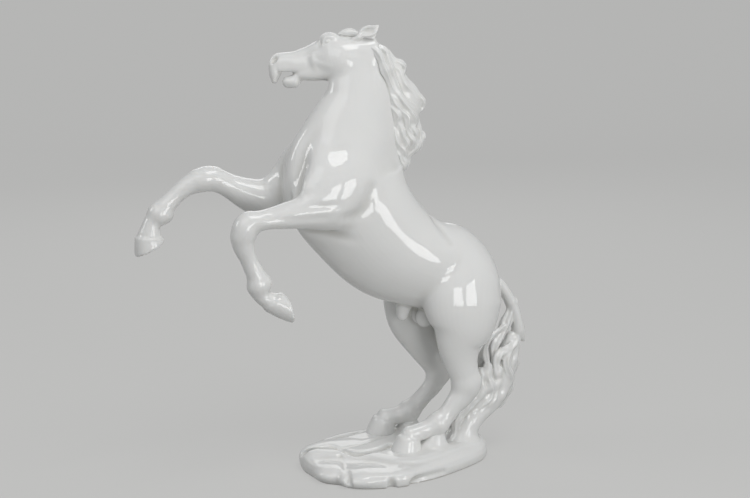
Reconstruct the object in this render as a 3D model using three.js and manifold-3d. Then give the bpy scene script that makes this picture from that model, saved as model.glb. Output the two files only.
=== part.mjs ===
// A rearing stallion in white glazed porcelain, standing on a rock plinth.
// The figure is modelled as the slip-cast sections that a figure maker lutes together before the firing:
// a hollow trunk, neck and plinth, solid legs and head, and an applied mane, tail, ears and forelock.
// Millimetres, +Z up. The horse faces -X, so its left side faces -Y.
import * as THREE from "three";
import { mergeVertices } from "three/addons/utils/BufferGeometryUtils.js";
import Module from "manifold-3d";

const wasm = await Module();
wasm.setup();

// Casting and joining
const SLIP_FILM = 0.3; // luting slip between two sections
const BODY_WALL = 5; // cast wall of the trunk and the neck
const PLINTH_WALL = 4.5; // cast wall of the plinth

// Plinth: a low rock shelf, and the higher ledge that the hooves stand on, each as a plan outline
const LEDGE_TOP = 15;
const SHELF_TOP = 11;
const EDGE_ROUND = 3; // rounding of the top edges
const FOOT_INSET = 1.5; // the foot is drawn in under the side
const SHELF_PLAN = [
  [91, -6], [82, 14], [58, 31], [28, 40], [-4, 39], [-30, 31], [-52, 16],
  [-59, -6], [-53, -28], [-38, -45], [-20, -57], [0, -60], [16, -56], [34, -51], [62, -38], [82, -24],
];
const LEDGE_PLAN = [
  [86, -6], [78, 12], [56, 28], [28, 37], [-4, 36], [-28, 28], [-49, 14],
  [-54, -2], [-40, -10], [-16, -22], [4, -42], [28, -44], [56, -32], [76, -20],
];

// Lengths that drive the figure, from the ground up: hind legs, spine, head and forelegs
const HOOF_HEIGHT = 13;
const HIND_PASTERN = 21;
const HIND_CANNON = 43;
const GASKIN = 71;
const THIGH = 21; // stifle to hip joint
const CROUP = 39; // hips back to the rump
const LOIN = 28;
const FLANK = 29;
const BARREL = 36;
const CHEST = 30;
const WITHERS = 22;
const NECK = 66;
const HEAD = 72; // poll to lip
const EAR = 19;
const FOREARM = 58;
const FORE_CANNON = 45;
const FORE_PASTERN = 17;

// Every heading is in degrees in the median plane: 0 points forward, 90 straight up, 270 straight down.
// Sections have a half width across the horse, and a half depth, or one towards the back and one towards
// the belly.

// Hoof: half sizes at the coronet and at the sole, and how far the coronet lies behind the sole
const CORONET_HEADING = -60; // of a hoof on the ground
const SOLE_HEADING = -90;
const HOOF = { coronetWide: 8.4, coronetDeep: 9, soleWide: 10.5, soleDeep: 12, behind: 3 };

// Hind legs, from the sole up, and the sections of their bones: share of the bone's length, half width,
// half depth and, in the gaskin, how far the muscle lies ahead of the bone
const HIND_LEGS = {
  left: { sole: [16, -24], pastern: 169, cannon: 130, gaskin: 88 },
  right: { sole: [12, 22], pastern: 178, cannon: 130, gaskin: 72 },
};
const HIP = { heading: 131, apart: 15, wide: 12, deep: 22 };
const GASKIN_SECTIONS = [
  [0.05, 16, 30, 1], [0.24, 16, 28, 4.5], [0.42, 14.5, 23.5, 7], [0.58, 11.5, 16, 8.5],
  [0.72, 9.6, 13.6, 6.5], [0.88, 8.4, 11.6, 2.5], [1, 8.2, 11, 0],
];
const HIND_CANNON_SECTIONS = [[0, 8.4, 10.5], [0.3, 6.4, 7.6], [0.65, 6, 6.8], [1, 7.4, 8]];
const HIND_PASTERN_SECTIONS = [[0, 7.4, 8], [0.5, 6.2, 6.2], [1, 8, 8]];
const HIND_LEG_JOINT = 0.62; // share of the gaskin where the leg is luted on

// Spine: the section over the hips, the sections behind it, and the sections ahead of it up to the poll
const HIPS = { ahead: 8, below: 6, wide: 28, back: 27.5, belly: 36 };
const RUMP_SECTIONS = [
  { long: CROUP * 0.66, heading: 216, wide: 20, back: 15, belly: 24 },
  { long: CROUP * 0.34, heading: 228, wide: 8, back: 7, belly: 9 },
];
const SPINE_SECTIONS = [
  { long: LOIN, heading: 27, wide: 29, back: 30, belly: 41 },
  { long: FLANK, heading: 29, wide: 31, back: 31, belly: 47 },
  { long: BARREL, heading: 48, wide: 31, back: 33.5, belly: 52 },
  { long: CHEST, heading: 63, wide: 27, back: 37, belly: 53 },
  { long: WITHERS, heading: 90, wide: 21, back: 34, belly: 42 },
  { long: NECK * 0.28, heading: 105, wide: 17, back: 26, belly: 35 },
  { long: NECK * 0.26, heading: 103, wide: 14, back: 19, belly: 29 },
  { long: NECK * 0.22, heading: 94, wide: 12, back: 14, belly: 26 },
  { long: NECK * 0.24, heading: 90, wide: 10, back: 9, belly: 18 },
];
const NECK_JOINT = { share: 0.82, heading: 92 }; // share of the withers where the neck is luted on
const HEAD_JOINT = { ahead: 9, below: 9, heading: 40 }; // from the top of the neck

// Forelegs, placed from the chest, the shoulder above and behind each elbow, and the breast muscle that
// trails from above the shoulder
const SHOULDER = { behind: 14, above: 10, apart: 20, long: 30, wide: 12, tall: 24 };
const BREAST = {
  above: 38, behind: 8, wide: 6, deep: 6, apart: 15,
  trail: [
    { long: 13, heading: 321, wide: 8, deep: 8 },
    { long: 11, heading: 317, wide: 9, deep: 9 },
    { long: 11, heading: 293, wide: 10, deep: 9.5 },
    { long: 12, heading: 307, wide: 10, deep: 10 },
  ],
};
const FORELEGS = {
  left: { ahead: 32, below: 18, side: -25, forearm: -10, cannon: -102, pastern: -125, sole: -176 },
  right: { ahead: 48, below: 21, side: 23, forearm: 20, cannon: -31, pastern: -64, sole: -123 },
};
const FOREARM_SECTIONS = [
  [-0.25, 12, 15], [0.1, 11, 14], [0.45, 9.5, 11.5], [0.8, 7.8, 8.6], [1, 8.4, 9.4],
];
const FORE_CANNON_SECTIONS = [[0, 8.2, 9.6], [0.25, 6.4, 7.4], [0.6, 5.8, 6.4], [1, 7, 8]];
const FORE_PASTERN_SECTIONS = [[0, 6.8, 7.6], [0.5, 6, 6.2], [1, 7.5, 8]];
const FORELEG_JOINT = 0.3; // share of the forearm where the leg is luted on

// Head, turned to the right, nodding and tilted. Its sections lie at shares of its length, with a rise
// above the line from poll to lip.
const POLL = { behind: 1, above: 8, yaw: -20, nod: -17, tilt: -15 };
const SKULL_SECTIONS = [
  { share: -0.11, rise: -3, wide: 9, back: 7, belly: 12 },
  { share: 0.08, rise: -3, wide: 11.5, back: 12, belly: 18 },
  { share: 0.28, rise: -5, wide: 13, back: 17, belly: 20 },
  { share: 0.375, rise: -5, wide: 12.5, back: 19.5, belly: 17 },
  { share: 0.49, rise: -4, wide: 10.5, back: 13, belly: 11 },
  { share: 0.64, rise: -2, wide: 8.5, back: 9.5, belly: 7 },
  { share: 0.78, rise: 0, wide: 8, back: 8, belly: 5 },
  { share: 0.875, rise: 0, wide: 8.5, back: 10, belly: 6.5 },
  { share: 0.945, rise: -1, wide: 7.5, back: 8.5, belly: 10 },
  { share: 0.985, rise: -3, wide: 5, back: 6, belly: 7 },
];
const JAW_SECTIONS = [
  { share: 0.305, rise: -14, wide: 8, deep: 7 },
  { share: 0.445, rise: -13, wide: 7.5, deep: 7.5 },
  { share: 0.6, rise: -11.5, wide: 6, deep: 5 },
  { share: 0.75, rise: -9.5, wide: 5.5, deep: 3.2 },
  { share: 0.86, rise: -12, wide: 6, deep: 4.6 },
  { share: 0.93, rise: -13, wide: 4, deep: 3 },
];
const FORELOCK_SECTIONS = [
  { share: 0.04, rise: 7, wide: 5, deep: 3 },
  { share: 0.125, rise: 10, wide: 6.5, deep: 3.6 },
  { share: 0.21, rise: 12, wide: 6, deep: 3 },
  { share: 0.28, rise: 12.6, wide: 3.5, deep: 1.8 },
];
const EAR_ROOT = { share: 0.083, apart: 6, rise: 3 };
const EAR_SECTIONS = [
  { share: 0, apart: 0, rise: 0, wide: 3, deep: 3 },
  { share: 0.32, apart: 1.5, rise: 2.5, wide: 2.6, deep: 4.4 },
  { share: 0.7, apart: 2.5, rise: 4.5, wide: 2, deep: 3.8 },
  { share: 1, apart: 3, rise: 5.5, wide: 0.7, deep: 1 },
];

// Mane: applied locks, each a root near a section of the neck and the stretches that it trails in
const MANE_CREST = {
  above: 2, behind: 0, wide: 5, deep: 6,
  trail: [
    { long: 9.5, heading: 198, wide: 7, deep: 9 },
    { long: 8.5, heading: 225, wide: 8, deep: 11 },
    { long: 10, heading: 217, wide: 8.5, deep: 11 },
    { long: 8.5, heading: 249, wide: 7, deep: 8 },
  ],
};
const MANE_MIDDLE = {
  above: 1, behind: 10, wide: 7, deep: 9,
  trail: [
    { long: 16.5, heading: 218, wide: 8.5, deep: 13 },
    { long: 14, heading: 219, wide: 8.5, deep: 13 },
    { long: 10, heading: 233, wide: 7, deep: 9 },
    { long: 8, heading: 277, wide: 5, deep: 5.5 },
  ],
};
const MANE_LOWER = {
  above: -4, behind: 19, wide: 7, deep: 9,
  trail: [
    { long: 15.5, heading: 230, wide: 8.5, deep: 13 },
    { long: 12.5, heading: 256, wide: 8.5, deep: 14 },
    { long: 10, heading: 264, wide: 7, deep: 12 },
    { long: 10, heading: 281, wide: 5, deep: 7 },
    { long: 9, heading: 282, wide: 3, deep: 3.5 },
  ],
};
const MANE_CURL = {
  above: -25, behind: 37, wide: 4, deep: 4,
  trail: [
    { long: 7, heading: 214, wide: 3.5, deep: 3.5 },
    { long: 6.5, heading: 231, wide: 1.5, deep: 2 },
  ],
};

// Tail: the dock trails from the rump. The other locks run between two points, each section at a share
// of the way and swaying ahead of the straight line or behind it.
const TAIL_DOCK = {
  above: 11, behind: -1, wide: 6, deep: 6,
  trail: [
    { long: 17, heading: 216, wide: 6, deep: 5.5 },
    { long: 15, heading: 233, wide: 5.5, deep: 4.5 },
    { long: 11.5, heading: 250, wide: 6, deep: 4.5 },
    { long: 11, heading: 260, wide: 7, deep: 5.5 },
    { long: 9, heading: 270, wide: 7, deep: 6 },
  ],
};
const TAIL_FOOT = [70, -12]; // where the switch meets the ledge
const TAIL_SINK = 5; // how far the switch runs on below the ledge before it is cut off
const TAIL_SWITCH_SECTIONS = [
  { share: 0, sway: 2, wide: 6, deep: 6 },
  { share: 0.14, sway: -1, wide: 9, deep: 9 },
  { share: 0.28, sway: 1, wide: 11, deep: 12 },
  { share: 0.42, sway: 3, wide: 12, deep: 14 },
  { share: 0.56, sway: 5, wide: 11.5, deep: 14 },
  { share: 0.68, sway: 3, wide: 10.5, deep: 11 },
  { share: 0.79, sway: -4, wide: 10, deep: 10 },
  { share: 0.9, sway: -3, wide: 10, deep: 10.5 },
  { share: 1, sway: 0, wide: 13, deep: 15 },
];
const TAIL_LOCK_SECTIONS = [
  { share: 0, sway: -1, wide: 4, deep: 3 },
  { share: 0.22, sway: -5, wide: 4.5, deep: 4 },
  { share: 0.41, sway: -10, wide: 4.5, deep: 4 },
  { share: 0.63, sway: -11, wide: 4, deep: 3.6 },
  { share: 0.82, sway: -6, wide: 4, deep: 3.6 },
  { share: 1, sway: 0, wide: 4, deep: 3.6 },
];
const TAIL_STRAND_SECTIONS = [
  { share: 0, side: -3, sway: -1, wide: 3, deep: 2.6 },
  { share: 0.15, side: -4, sway: -7, wide: 3, deep: 2.6 },
  { share: 0.35, side: -4, sway: -10, wide: 3, deep: 2.6 },
  { share: 0.65, side: -4, sway: -7, wide: 3, deep: 2.6 },
  { share: 1, side: -4, sway: 0, wide: 3, deep: 2.6 },
];

// Between the thighs
const SHEATH = {
  above: -41, behind: 4, wide: 5, deep: 6,
  trail: [{ long: 9, heading: 275, wide: 5.5, deep: 6 }, { long: 7, heading: 278, wide: 4.5, deep: 4.5 }],
};
const SCROTUM = {
  above: -27, behind: -5, wide: 8, deep: 7,
  trail: [{ long: 12, heading: 275, wide: 9, deep: 8 }, { long: 8, heading: 277, wide: 6.5, deep: 5.5 }],
};

const GLAZE = new THREE.MeshStandardMaterial({ color: 0xe6e7e3, roughness: 0.12, metalness: 0 });
const LEVEL = new THREE.Matrix4();

// Facets round the sections
const BODY_SIDES = 18;
const SKULL_SIDES = 14;
const GASKIN_SIDES = 14;
const LIMB_SIDES = 12;
const JAW_SIDES = 10;

// Ends and edges
const DOME = { reach: 0.6, shrink: 0.5 }; // a ring past the end of a tube, as shares of its last section
const EDGE_MIDDLE = 0.3; // the ring half way round an edge, as a share of its rounding

// A direction in the median plane.
function heading(degrees) {
  const a = THREE.MathUtils.degToRad(degrees);
  return new THREE.Vector3(-Math.cos(a), 0, Math.sin(a));
}

// A place ahead of, beside and below another.
function placed(from, { ahead = 0, behind = 0, side = 0, above = 0, below = 0 }) {
  return from.clone().add(new THREE.Vector3(behind - ahead, side, above - below));
}

// The stations of stretches that follow each other from a place.
function trail(from, stretches) {
  const at = from.clone();
  return stretches.map((stretch) => {
    at.addScaledVector(heading(stretch.heading), stretch.long);
    return { ...stretch, x: at.x, y: at.y, z: at.z };
  });
}

// The stations of a lock that trails from a root near a place.
function lock(from, { trail: stretches, ...root }) {
  const at = placed(from, root);
  return [{ ...root, x: at.x, y: at.y, z: at.z }, ...trail(at, stretches)];
}

// The stations of a lock that runs between two places.
function hang(from, to, sections) {
  return sections.map((section) => {
    const at = from.clone().lerp(to, section.share);
    return { ...section, x: at.x + section.sway, y: at.y + (section.side ?? 0), z: at.z };
  });
}

function placeOf(station) {
  return new THREE.Vector3(station.x, station.y ?? 0, station.z);
}

// A manifold solid from a closed geometry.
function solid(geometry) {
  const bare = new THREE.BufferGeometry();
  bare.setAttribute("position", geometry.getAttribute("position"));
  bare.setIndex(geometry.getIndex());
  const merged = mergeVertices(bare, 1e-4);
  return new wasm.Manifold(new wasm.Mesh({
    numProp: 3,
    vertProperties: new Float32Array(merged.getAttribute("position").array),
    triVerts: new Uint32Array(merged.getIndex().array),
  }));
}

// A closed skin over rings of points, each ring a list of the same number of vectors.
function skin(rings, placing = LEVEL) {
  const sides = rings[0].length;
  const positions = rings.flat().flatMap((p) => p.clone().applyMatrix4(placing).toArray());
  const index = [];
  for (let i = 0; i < rings.length - 1; i += 1) {
    for (let j = 0; j < sides; j += 1) {
      const a = i * sides + j;
      const b = i * sides + ((j + 1) % sides);
      index.push(a, b, a + sides, b, b + sides, a + sides);
    }
  }
  const last = (rings.length - 1) * sides;
  for (let j = 1; j < sides - 1; j += 1) {
    index.push(0, j + 1, j);
    index.push(last, last + j, last + j + 1);
  }
  const geometry = new THREE.BufferGeometry();
  geometry.setAttribute("position", new THREE.Float32BufferAttribute(positions, 3));
  geometry.setIndex(index);
  return solid(geometry);
}

// An egg-shaped ring of points in the plane square to a direction.
function ring(centre, along, wide, back, belly, sides) {
  const across = new THREE.Vector3(0, 1, 0);
  across.addScaledVector(along, -across.dot(along)).normalize();
  const upward = new THREE.Vector3().crossVectors(across, along);
  return Array.from({ length: sides }, (_, j) => {
    const angle = (2 * Math.PI * j) / sides;
    const depth = Math.cos(angle) > 0 ? back : belly;
    return centre.clone()
      .addScaledVector(across, wide * Math.sin(angle))
      .addScaledVector(upward, depth * Math.cos(angle));
  });
}

// A smooth closed tube with domed ends through stations. The half width lies across the horse.
function loft(stations, { sides = LIMB_SIDES, spans = 2, grow = 0, placing = LEVEL } = {}) {
  const centres = new THREE.CatmullRomCurve3(stations.map(placeOf));
  const sizes = new THREE.CatmullRomCurve3(
    stations.map((s) => new THREE.Vector3(s.wide, s.back ?? s.deep, s.belly ?? s.deep)));
  const count = (stations.length - 1) * spans;
  const rings = [];
  const put = (share, out, shrink) => {
    const along = centres.getTangent(share);
    const size = sizes.getPoint(share).addScalar(grow);
    const reach = Math.min(size.x, size.y, size.z) * out;
    const centre = centres.getPoint(share).addScaledVector(along, reach);
    size.multiplyScalar(shrink);
    rings.push(ring(centre, along, size.x, size.y, size.z, sides));
  };
  put(0, -DOME.reach, DOME.shrink);
  for (let i = 0; i <= count; i += 1) {
    put(i / count, 0, 1);
  }
  put(1, DOME.reach, DOME.shrink);
  return skin(rings, placing);
}

// The room that a tube takes up together with the slip film round it.
function roomFor(stations, options) {
  return loft(stations, options).add(loft(stations, { ...options, grow: SLIP_FILM }));
}

// The stations of a bone, from sections given as shares of its length.
function bone(from, to, sections) {
  return sections.map(([share, wide, deep, ahead = 0]) => {
    const at = placed(from.clone().lerp(to, share), { ahead });
    return { x: at.x, y: at.y, z: at.z, wide, deep };
  });
}

// The shoulder and breast muscles over a foreleg.
function shoulder(chest, pose, grow = 0) {
  const side = Math.sign(pose.side);
  const at = placed(placed(chest, pose), SHOULDER).setY(side * SHOULDER.apart);
  const geometry = new THREE.SphereGeometry(1, 14, 10);
  geometry.scale(SHOULDER.long + grow, SHOULDER.wide + grow, SHOULDER.tall + grow);
  geometry.translate(at.x, at.y, at.z);
  const breast = lock(at.clone().setY(side * BREAST.apart), BREAST);
  return solid(geometry).add(loft(breast, { grow }));
}

// Both sides of a flat cut through a point, with the slip film between them.
function halves(made, at, along) {
  const offset = at.dot(along);
  const back = along.clone().negate();
  return {
    ahead: made.trimByPlane(along.toArray(), offset + SLIP_FILM / 2),
    behind: made.trimByPlane(back.toArray(), SLIP_FILM / 2 - offset),
  };
}

// What is left of a section after room is made for its neighbours.
function clearOf(made, neighbours) {
  return neighbours.reduce((left, n) => left.subtract(n), made);
}

// The largest body of a cut section.
function mainBody(made) {
  return made.decompose().sort((a, b) => b.volume() - a.volume())[0];
}

function piece(name, made) {
  const out = mainBody(made).getMesh();
  const geometry = new THREE.BufferGeometry();
  geometry.setAttribute("position", new THREE.Float32BufferAttribute(out.vertProperties, 3));
  geometry.setIndex(new THREE.Uint32BufferAttribute(out.triVerts, 1));
  geometry.computeVertexNormals();
  const mesh = new THREE.Mesh(geometry, GLAZE);
  mesh.name = name;
  return mesh;
}

// A hoof from its coronet to its flat sole.
function hoof(coronet, coronetHeading, sole, soleHeading, grow) {
  const upperDeep = HOOF.coronetDeep + grow;
  const lowerDeep = HOOF.soleDeep + grow;
  return skin([
    ring(coronet, heading(coronetHeading), HOOF.coronetWide + grow, upperDeep, upperDeep, LIMB_SIDES),
    ring(sole, heading(soleHeading), HOOF.soleWide + grow, lowerDeep, lowerDeep, LIMB_SIDES),
  ]);
}

// A whole foreleg from inside the shoulder to the hoof, with the place and direction of its joint.
function foreleg(chest, pose, grow = 0) {
  const elbow = placed(chest, pose);
  const knee = elbow.clone().addScaledVector(heading(pose.forearm), FOREARM);
  const fetlock = knee.clone().addScaledVector(heading(pose.cannon), FORE_CANNON);
  const coronet = fetlock.clone().addScaledVector(heading(pose.pastern), FORE_PASTERN);
  const sole = coronet.clone().addScaledVector(heading((pose.pastern + pose.sole) / 2), HOOF_HEIGHT);
  const whole = loft(bone(elbow, knee, FOREARM_SECTIONS), { grow })
    .add(loft(bone(knee, fetlock, FORE_CANNON_SECTIONS), { grow, spans: 1 }))
    .add(loft(bone(fetlock, coronet, FORE_PASTERN_SECTIONS), { grow, spans: 1 }))
    .add(hoof(coronet, pose.pastern, sole, pose.sole, grow));
  return { whole, joint: elbow.clone().lerp(knee, FORELEG_JOINT), along: heading(pose.forearm) };
}

// The joints of a hind leg, from the ground up.
function hindJoints(pose) {
  const sole = new THREE.Vector3(...pose.sole, 0);
  const coronet = placed(sole, { behind: HOOF.behind, above: HOOF_HEIGHT });
  const fetlock = coronet.clone().addScaledVector(heading(pose.pastern), HIND_PASTERN);
  const hock = fetlock.clone().addScaledVector(heading(pose.cannon), HIND_CANNON);
  const stifle = hock.clone().addScaledVector(heading(pose.gaskin), GASKIN);
  return { sole, coronet, fetlock, hock, stifle };
}

// A whole hind leg from inside the hip to the hoof.
function hindLeg(hip, pose, grow = 0) {
  const { sole, coronet, fetlock, hock, stifle } = hindJoints(pose);
  const top = { ...HIP, x: hip.x, y: Math.sign(sole.y) * HIP.apart, z: hip.z };
  const whole = loft([top, ...bone(stifle, hock, GASKIN_SECTIONS)], { grow, sides: GASKIN_SIDES })
    .add(loft(bone(hock, fetlock, HIND_CANNON_SECTIONS), { grow, spans: 1 }))
    .add(loft(bone(fetlock, coronet, HIND_PASTERN_SECTIONS), { grow, spans: 1 }))
    .add(hoof(coronet, CORONET_HEADING, sole, SOLE_HEADING, grow));
  return { whole, joint: stifle.clone().lerp(hock, HIND_LEG_JOINT), along: heading(pose.gaskin + 180) };
}

// The stations of a piece of the head, in the head's own frame.
function headStations(sections) {
  return sections.map((section) => ({ ...section, x: -section.share * HEAD, z: section.rise }));
}

// The stations of an ear, in the head's own frame.
function earStations(side) {
  return EAR_SECTIONS.map((section) => ({
    ...section,
    x: section.share * EAR - EAR_ROOT.share * HEAD,
    y: side * (EAR_ROOT.apart + section.apart),
    z: EAR_ROOT.rise + section.rise,
  }));
}

// Where the head sits on the neck.
function headPlacing(neckTop) {
  const turn = new THREE.Euler(
    THREE.MathUtils.degToRad(POLL.tilt),
    THREE.MathUtils.degToRad(POLL.nod),
    THREE.MathUtils.degToRad(POLL.yaw), "ZYX");
  return new THREE.Matrix4().makeRotationFromEuler(turn).setPosition(placed(neckTop, POLL));
}

// A plan outline at a height, drawn in by an inset.
function planRing(plan, inset, z) {
  const curve = new THREE.CatmullRomCurve3(plan.map(([x, y]) => new THREE.Vector3(x, y, 0)), true);
  const count = plan.length * 2;
  return Array.from({ length: count }, (_, j) => {
    const at = curve.getPoint(j / count);
    const along = curve.getTangent(j / count);
    return new THREE.Vector3(at.x - along.y * inset, at.y + along.x * inset, z);
  });
}

// A rock slab with a rounded top edge.
function slab(plan, top) {
  return skin([
    planRing(plan, FOOT_INSET, 0),
    planRing(plan, 0, EDGE_ROUND),
    planRing(plan, 0, top - EDGE_ROUND),
    planRing(plan, EDGE_ROUND * EDGE_MIDDLE, top - EDGE_ROUND * EDGE_MIDDLE),
    planRing(plan, EDGE_ROUND, top),
  ]);
}

const figure = new THREE.Group();
const horse = new THREE.Group();
horse.position.z = LEDGE_TOP;
figure.add(horse);

// Plinth, hollow and open at the foot
const shell = slab(SHELF_PLAN, SHELF_TOP).add(slab(LEDGE_PLAN, LEDGE_TOP - SLIP_FILM));
const hollow = skin([
  planRing(SHELF_PLAN, PLINTH_WALL + FOOT_INSET, -1),
  planRing(SHELF_PLAN, PLINTH_WALL + FOOT_INSET, SHELF_TOP - PLINTH_WALL),
]);
figure.add(piece("plinth", shell.subtract(hollow)));

// Spine, from the hips that the left hind leg carries
const hip = hindJoints(HIND_LEGS.left).stifle.addScaledVector(heading(HIP.heading), THIGH).setY(0);
const overHips = placed(hip, HIPS);
const rump = trail(overHips, RUMP_SECTIONS);
const spine = trail(overHips, SPINE_SECTIONS);
const [loin, flank, , chest, withers, , neckMiddle, neckUpper, neckTop] = spine.map(placeOf);
const rumpTop = placeOf(rump[0]);
const BODY = [...rump.reverse(), { ...HIPS, x: overHips.x, z: overHips.z }, ...spine];

// Trunk and neck, one hollow body, with the stumps that the legs are luted to
const roomForBody = roomFor(BODY, { sides: BODY_SIDES });
const roomForLegs = [];
let body = loft(BODY, { sides: BODY_SIDES });
for (const [name, pose] of Object.entries(FORELEGS)) {
  const leg = foreleg(chest, pose);
  const cut = halves(leg.whole, leg.joint, leg.along);
  body = body.add(shoulder(chest, pose)).add(cut.behind);
  const free = clearOf(cut.ahead, [roomForBody, shoulder(chest, pose, SLIP_FILM)]);
  horse.add(piece(`foreleg_${name}`, free));
}
for (const [name, pose] of Object.entries(HIND_LEGS)) {
  const leg = hindLeg(hip, pose);
  const cut = halves(leg.whole, leg.joint, leg.along);
  body = body.add(cut.behind);
  roomForLegs.push(leg.whole.add(hindLeg(hip, pose, SLIP_FILM).whole));
  horse.add(piece(`hind_leg_${name}`, clearOf(cut.ahead, [roomForBody])));
}
body = body.subtract(loft(BODY, { grow: -BODY_WALL }));
const neckRoot = chest.clone().lerp(withers, NECK_JOINT.share);
const throat = placed(neckTop, HEAD_JOINT);
const atNeck = halves(body, neckRoot, heading(NECK_JOINT.heading));
const atHead = halves(atNeck.ahead, throat, heading(HEAD_JOINT.heading));
horse.add(piece("trunk", atNeck.behind));
horse.add(piece("neck", atHead.behind));

// Head, with the jaw, ears and forelock applied to it
const placing = headPlacing(neckTop);
const onHead = { placing, sides: JAW_SIDES };
const onSkull = { placing, sides: SKULL_SIDES };
const skull = headStations(SKULL_SECTIONS);
const roomForSkull = roomFor(skull, onSkull);
const ears = [["ear_left", earStations(-1)], ["ear_right", earStations(1)]];
const roomForEars = ears.map(([, stations]) => roomFor(stations, onHead));
horse.add(piece("head", halves(loft(skull, onSkull), throat, heading(HEAD_JOINT.heading)).ahead));
horse.add(piece("lower_jaw", clearOf(loft(headStations(JAW_SECTIONS), onHead), [roomForSkull])));
for (const [name, stations] of ears) {
  horse.add(piece(name, clearOf(loft(stations, onHead), [roomForSkull, roomForBody])));
}
const forelock = loft(headStations(FORELOCK_SECTIONS), onHead);
horse.add(piece("forelock", clearOf(forelock, [roomForSkull, ...roomForEars])));

// Mane
const crest = lock(neckTop, MANE_CREST);
const middle = lock(neckUpper, MANE_MIDDLE);
const lower = loft(lock(neckMiddle, MANE_LOWER)).add(loft(lock(neckMiddle, MANE_CURL)));
const roomForHead = [roomForBody, roomForSkull, ...roomForEars];
const roomForCrest = [...roomForHead, roomFor(crest)];
horse.add(piece("mane_crest", clearOf(loft(crest), roomForHead)));
horse.add(piece("mane_middle", clearOf(loft(middle), roomForCrest)));
horse.add(piece("mane_lower", clearOf(lower, [...roomForCrest, roomFor(middle)])));

// Tail, from the rump to the ledge
const dock = lock(rumpTop, TAIL_DOCK);
const [, , , dockMiddle, , dockEnd] = dock.map(placeOf);
const brush = hang(dockEnd, new THREE.Vector3(...TAIL_FOOT, -TAIL_SINK), TAIL_SWITCH_SECTIONS);
const innerLock = hang(dockMiddle, placeOf(brush[3]), TAIL_LOCK_SECTIONS);
const strand = hang(placeOf(innerLock[1]), placeOf(innerLock[4]), TAIL_STRAND_SECTIONS);
const roomForHorse = [roomForBody, ...roomForLegs];
const roomForDock = [...roomForHorse, roomFor(dock)];
const roomForBrush = [...roomForDock, roomFor(brush)];
const onLedge = halves(clearOf(loft(brush), roomForDock), new THREE.Vector3(), heading(90));
horse.add(piece("tail_dock", clearOf(loft(dock), roomForHorse)));
horse.add(piece("tail_switch", onLedge.ahead));
horse.add(piece("tail_lock", clearOf(loft(innerLock), roomForBrush)));
horse.add(piece("tail_strand", clearOf(loft(strand), [...roomForBrush, roomFor(innerLock)])));

// Between the thighs
horse.add(piece("sheath", clearOf(loft(lock(flank, SHEATH)), roomForHorse)));
horse.add(piece("scrotum", clearOf(loft(lock(loin, SCROTUM)), roomForHorse)));

// The origin lies under the middle of the figure, on the table.
figure.updateMatrixWorld(true);
const extent = new THREE.Box3().setFromObject(figure, true);
const centre = extent.getCenter(new THREE.Vector3());
figure.position.set(-centre.x, -centre.y, -extent.min.z);

const part = new THREE.Group();
part.add(figure);
export default part;
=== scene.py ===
"""White glazed porcelain stallion, rearing on a rock plinth.

The horse is modelled as a figure maker models it: sections carried along the bones are pressed together,
the joins are filled with soft fillets, and grooves are drawn into the surface.
"""

import math

import bmesh
import bpy
import numpy as np
import openvdb as vdb
from bpy.props import FloatProperty, FloatVectorProperty, PointerProperty
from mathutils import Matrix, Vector


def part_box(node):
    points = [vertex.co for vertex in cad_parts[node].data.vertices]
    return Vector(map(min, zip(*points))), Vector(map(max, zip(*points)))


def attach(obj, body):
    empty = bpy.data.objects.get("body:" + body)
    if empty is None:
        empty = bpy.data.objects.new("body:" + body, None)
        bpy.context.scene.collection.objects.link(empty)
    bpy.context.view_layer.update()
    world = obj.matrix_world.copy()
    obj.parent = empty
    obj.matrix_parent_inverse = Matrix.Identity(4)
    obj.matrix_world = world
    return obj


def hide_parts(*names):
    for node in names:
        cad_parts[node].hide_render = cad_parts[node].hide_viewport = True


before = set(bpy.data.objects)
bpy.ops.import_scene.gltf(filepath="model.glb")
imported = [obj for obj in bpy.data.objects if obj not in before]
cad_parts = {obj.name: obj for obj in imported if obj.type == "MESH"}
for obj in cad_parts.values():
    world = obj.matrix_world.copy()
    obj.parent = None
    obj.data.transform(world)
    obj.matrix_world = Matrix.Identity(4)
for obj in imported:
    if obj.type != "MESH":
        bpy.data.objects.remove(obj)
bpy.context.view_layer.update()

bl_info = {
    "name": "Porcelain Stallion",
    "version": (1, 0, 0),
    "blender": (4, 5, 0),
    "location": "3D View > Sidebar > Figure",
    "description": "Models a glazed porcelain stallion that rears on a rock plinth",
    "category": "Object",
}

# Modelling is done in millimetres, measured along from under the withers, across from the median plane
# and up from the ledge that the hooves stand on. The horse faces -X, so its left side faces -Y.
MM = 0.001
LEDGE_TOP = 15.0
HOOF_TOE = (4.0, -34.5)  # lowest corner of the left hind leg in the modelling frame
ROW_SHIFT = np.append(np.array(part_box("hind_leg_left")[0][:2]) / MM - HOOF_TOE, LEDGE_TOP)
ACROSS = np.array((0.0, 1.0, 0.0))
REACH = 14.0  # how far from a surface its distance is kept
THINNEST = 0.2  # least half width or half depth of a swept section
CAP_ANGLES = (90, 70, 45, 20)  # degrees, from the tip of a domed end down to its rim
CLOSED = 1e-3  # share of its size that a section keeps at the tip
SMOOTH_OUT, SMOOTH_BACK = 0.5, 0.53  # shares of the way to the neighbours' mean, and back again
NEVER_ZERO = 1e-12  # keeps a normal's length from being zero

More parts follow.
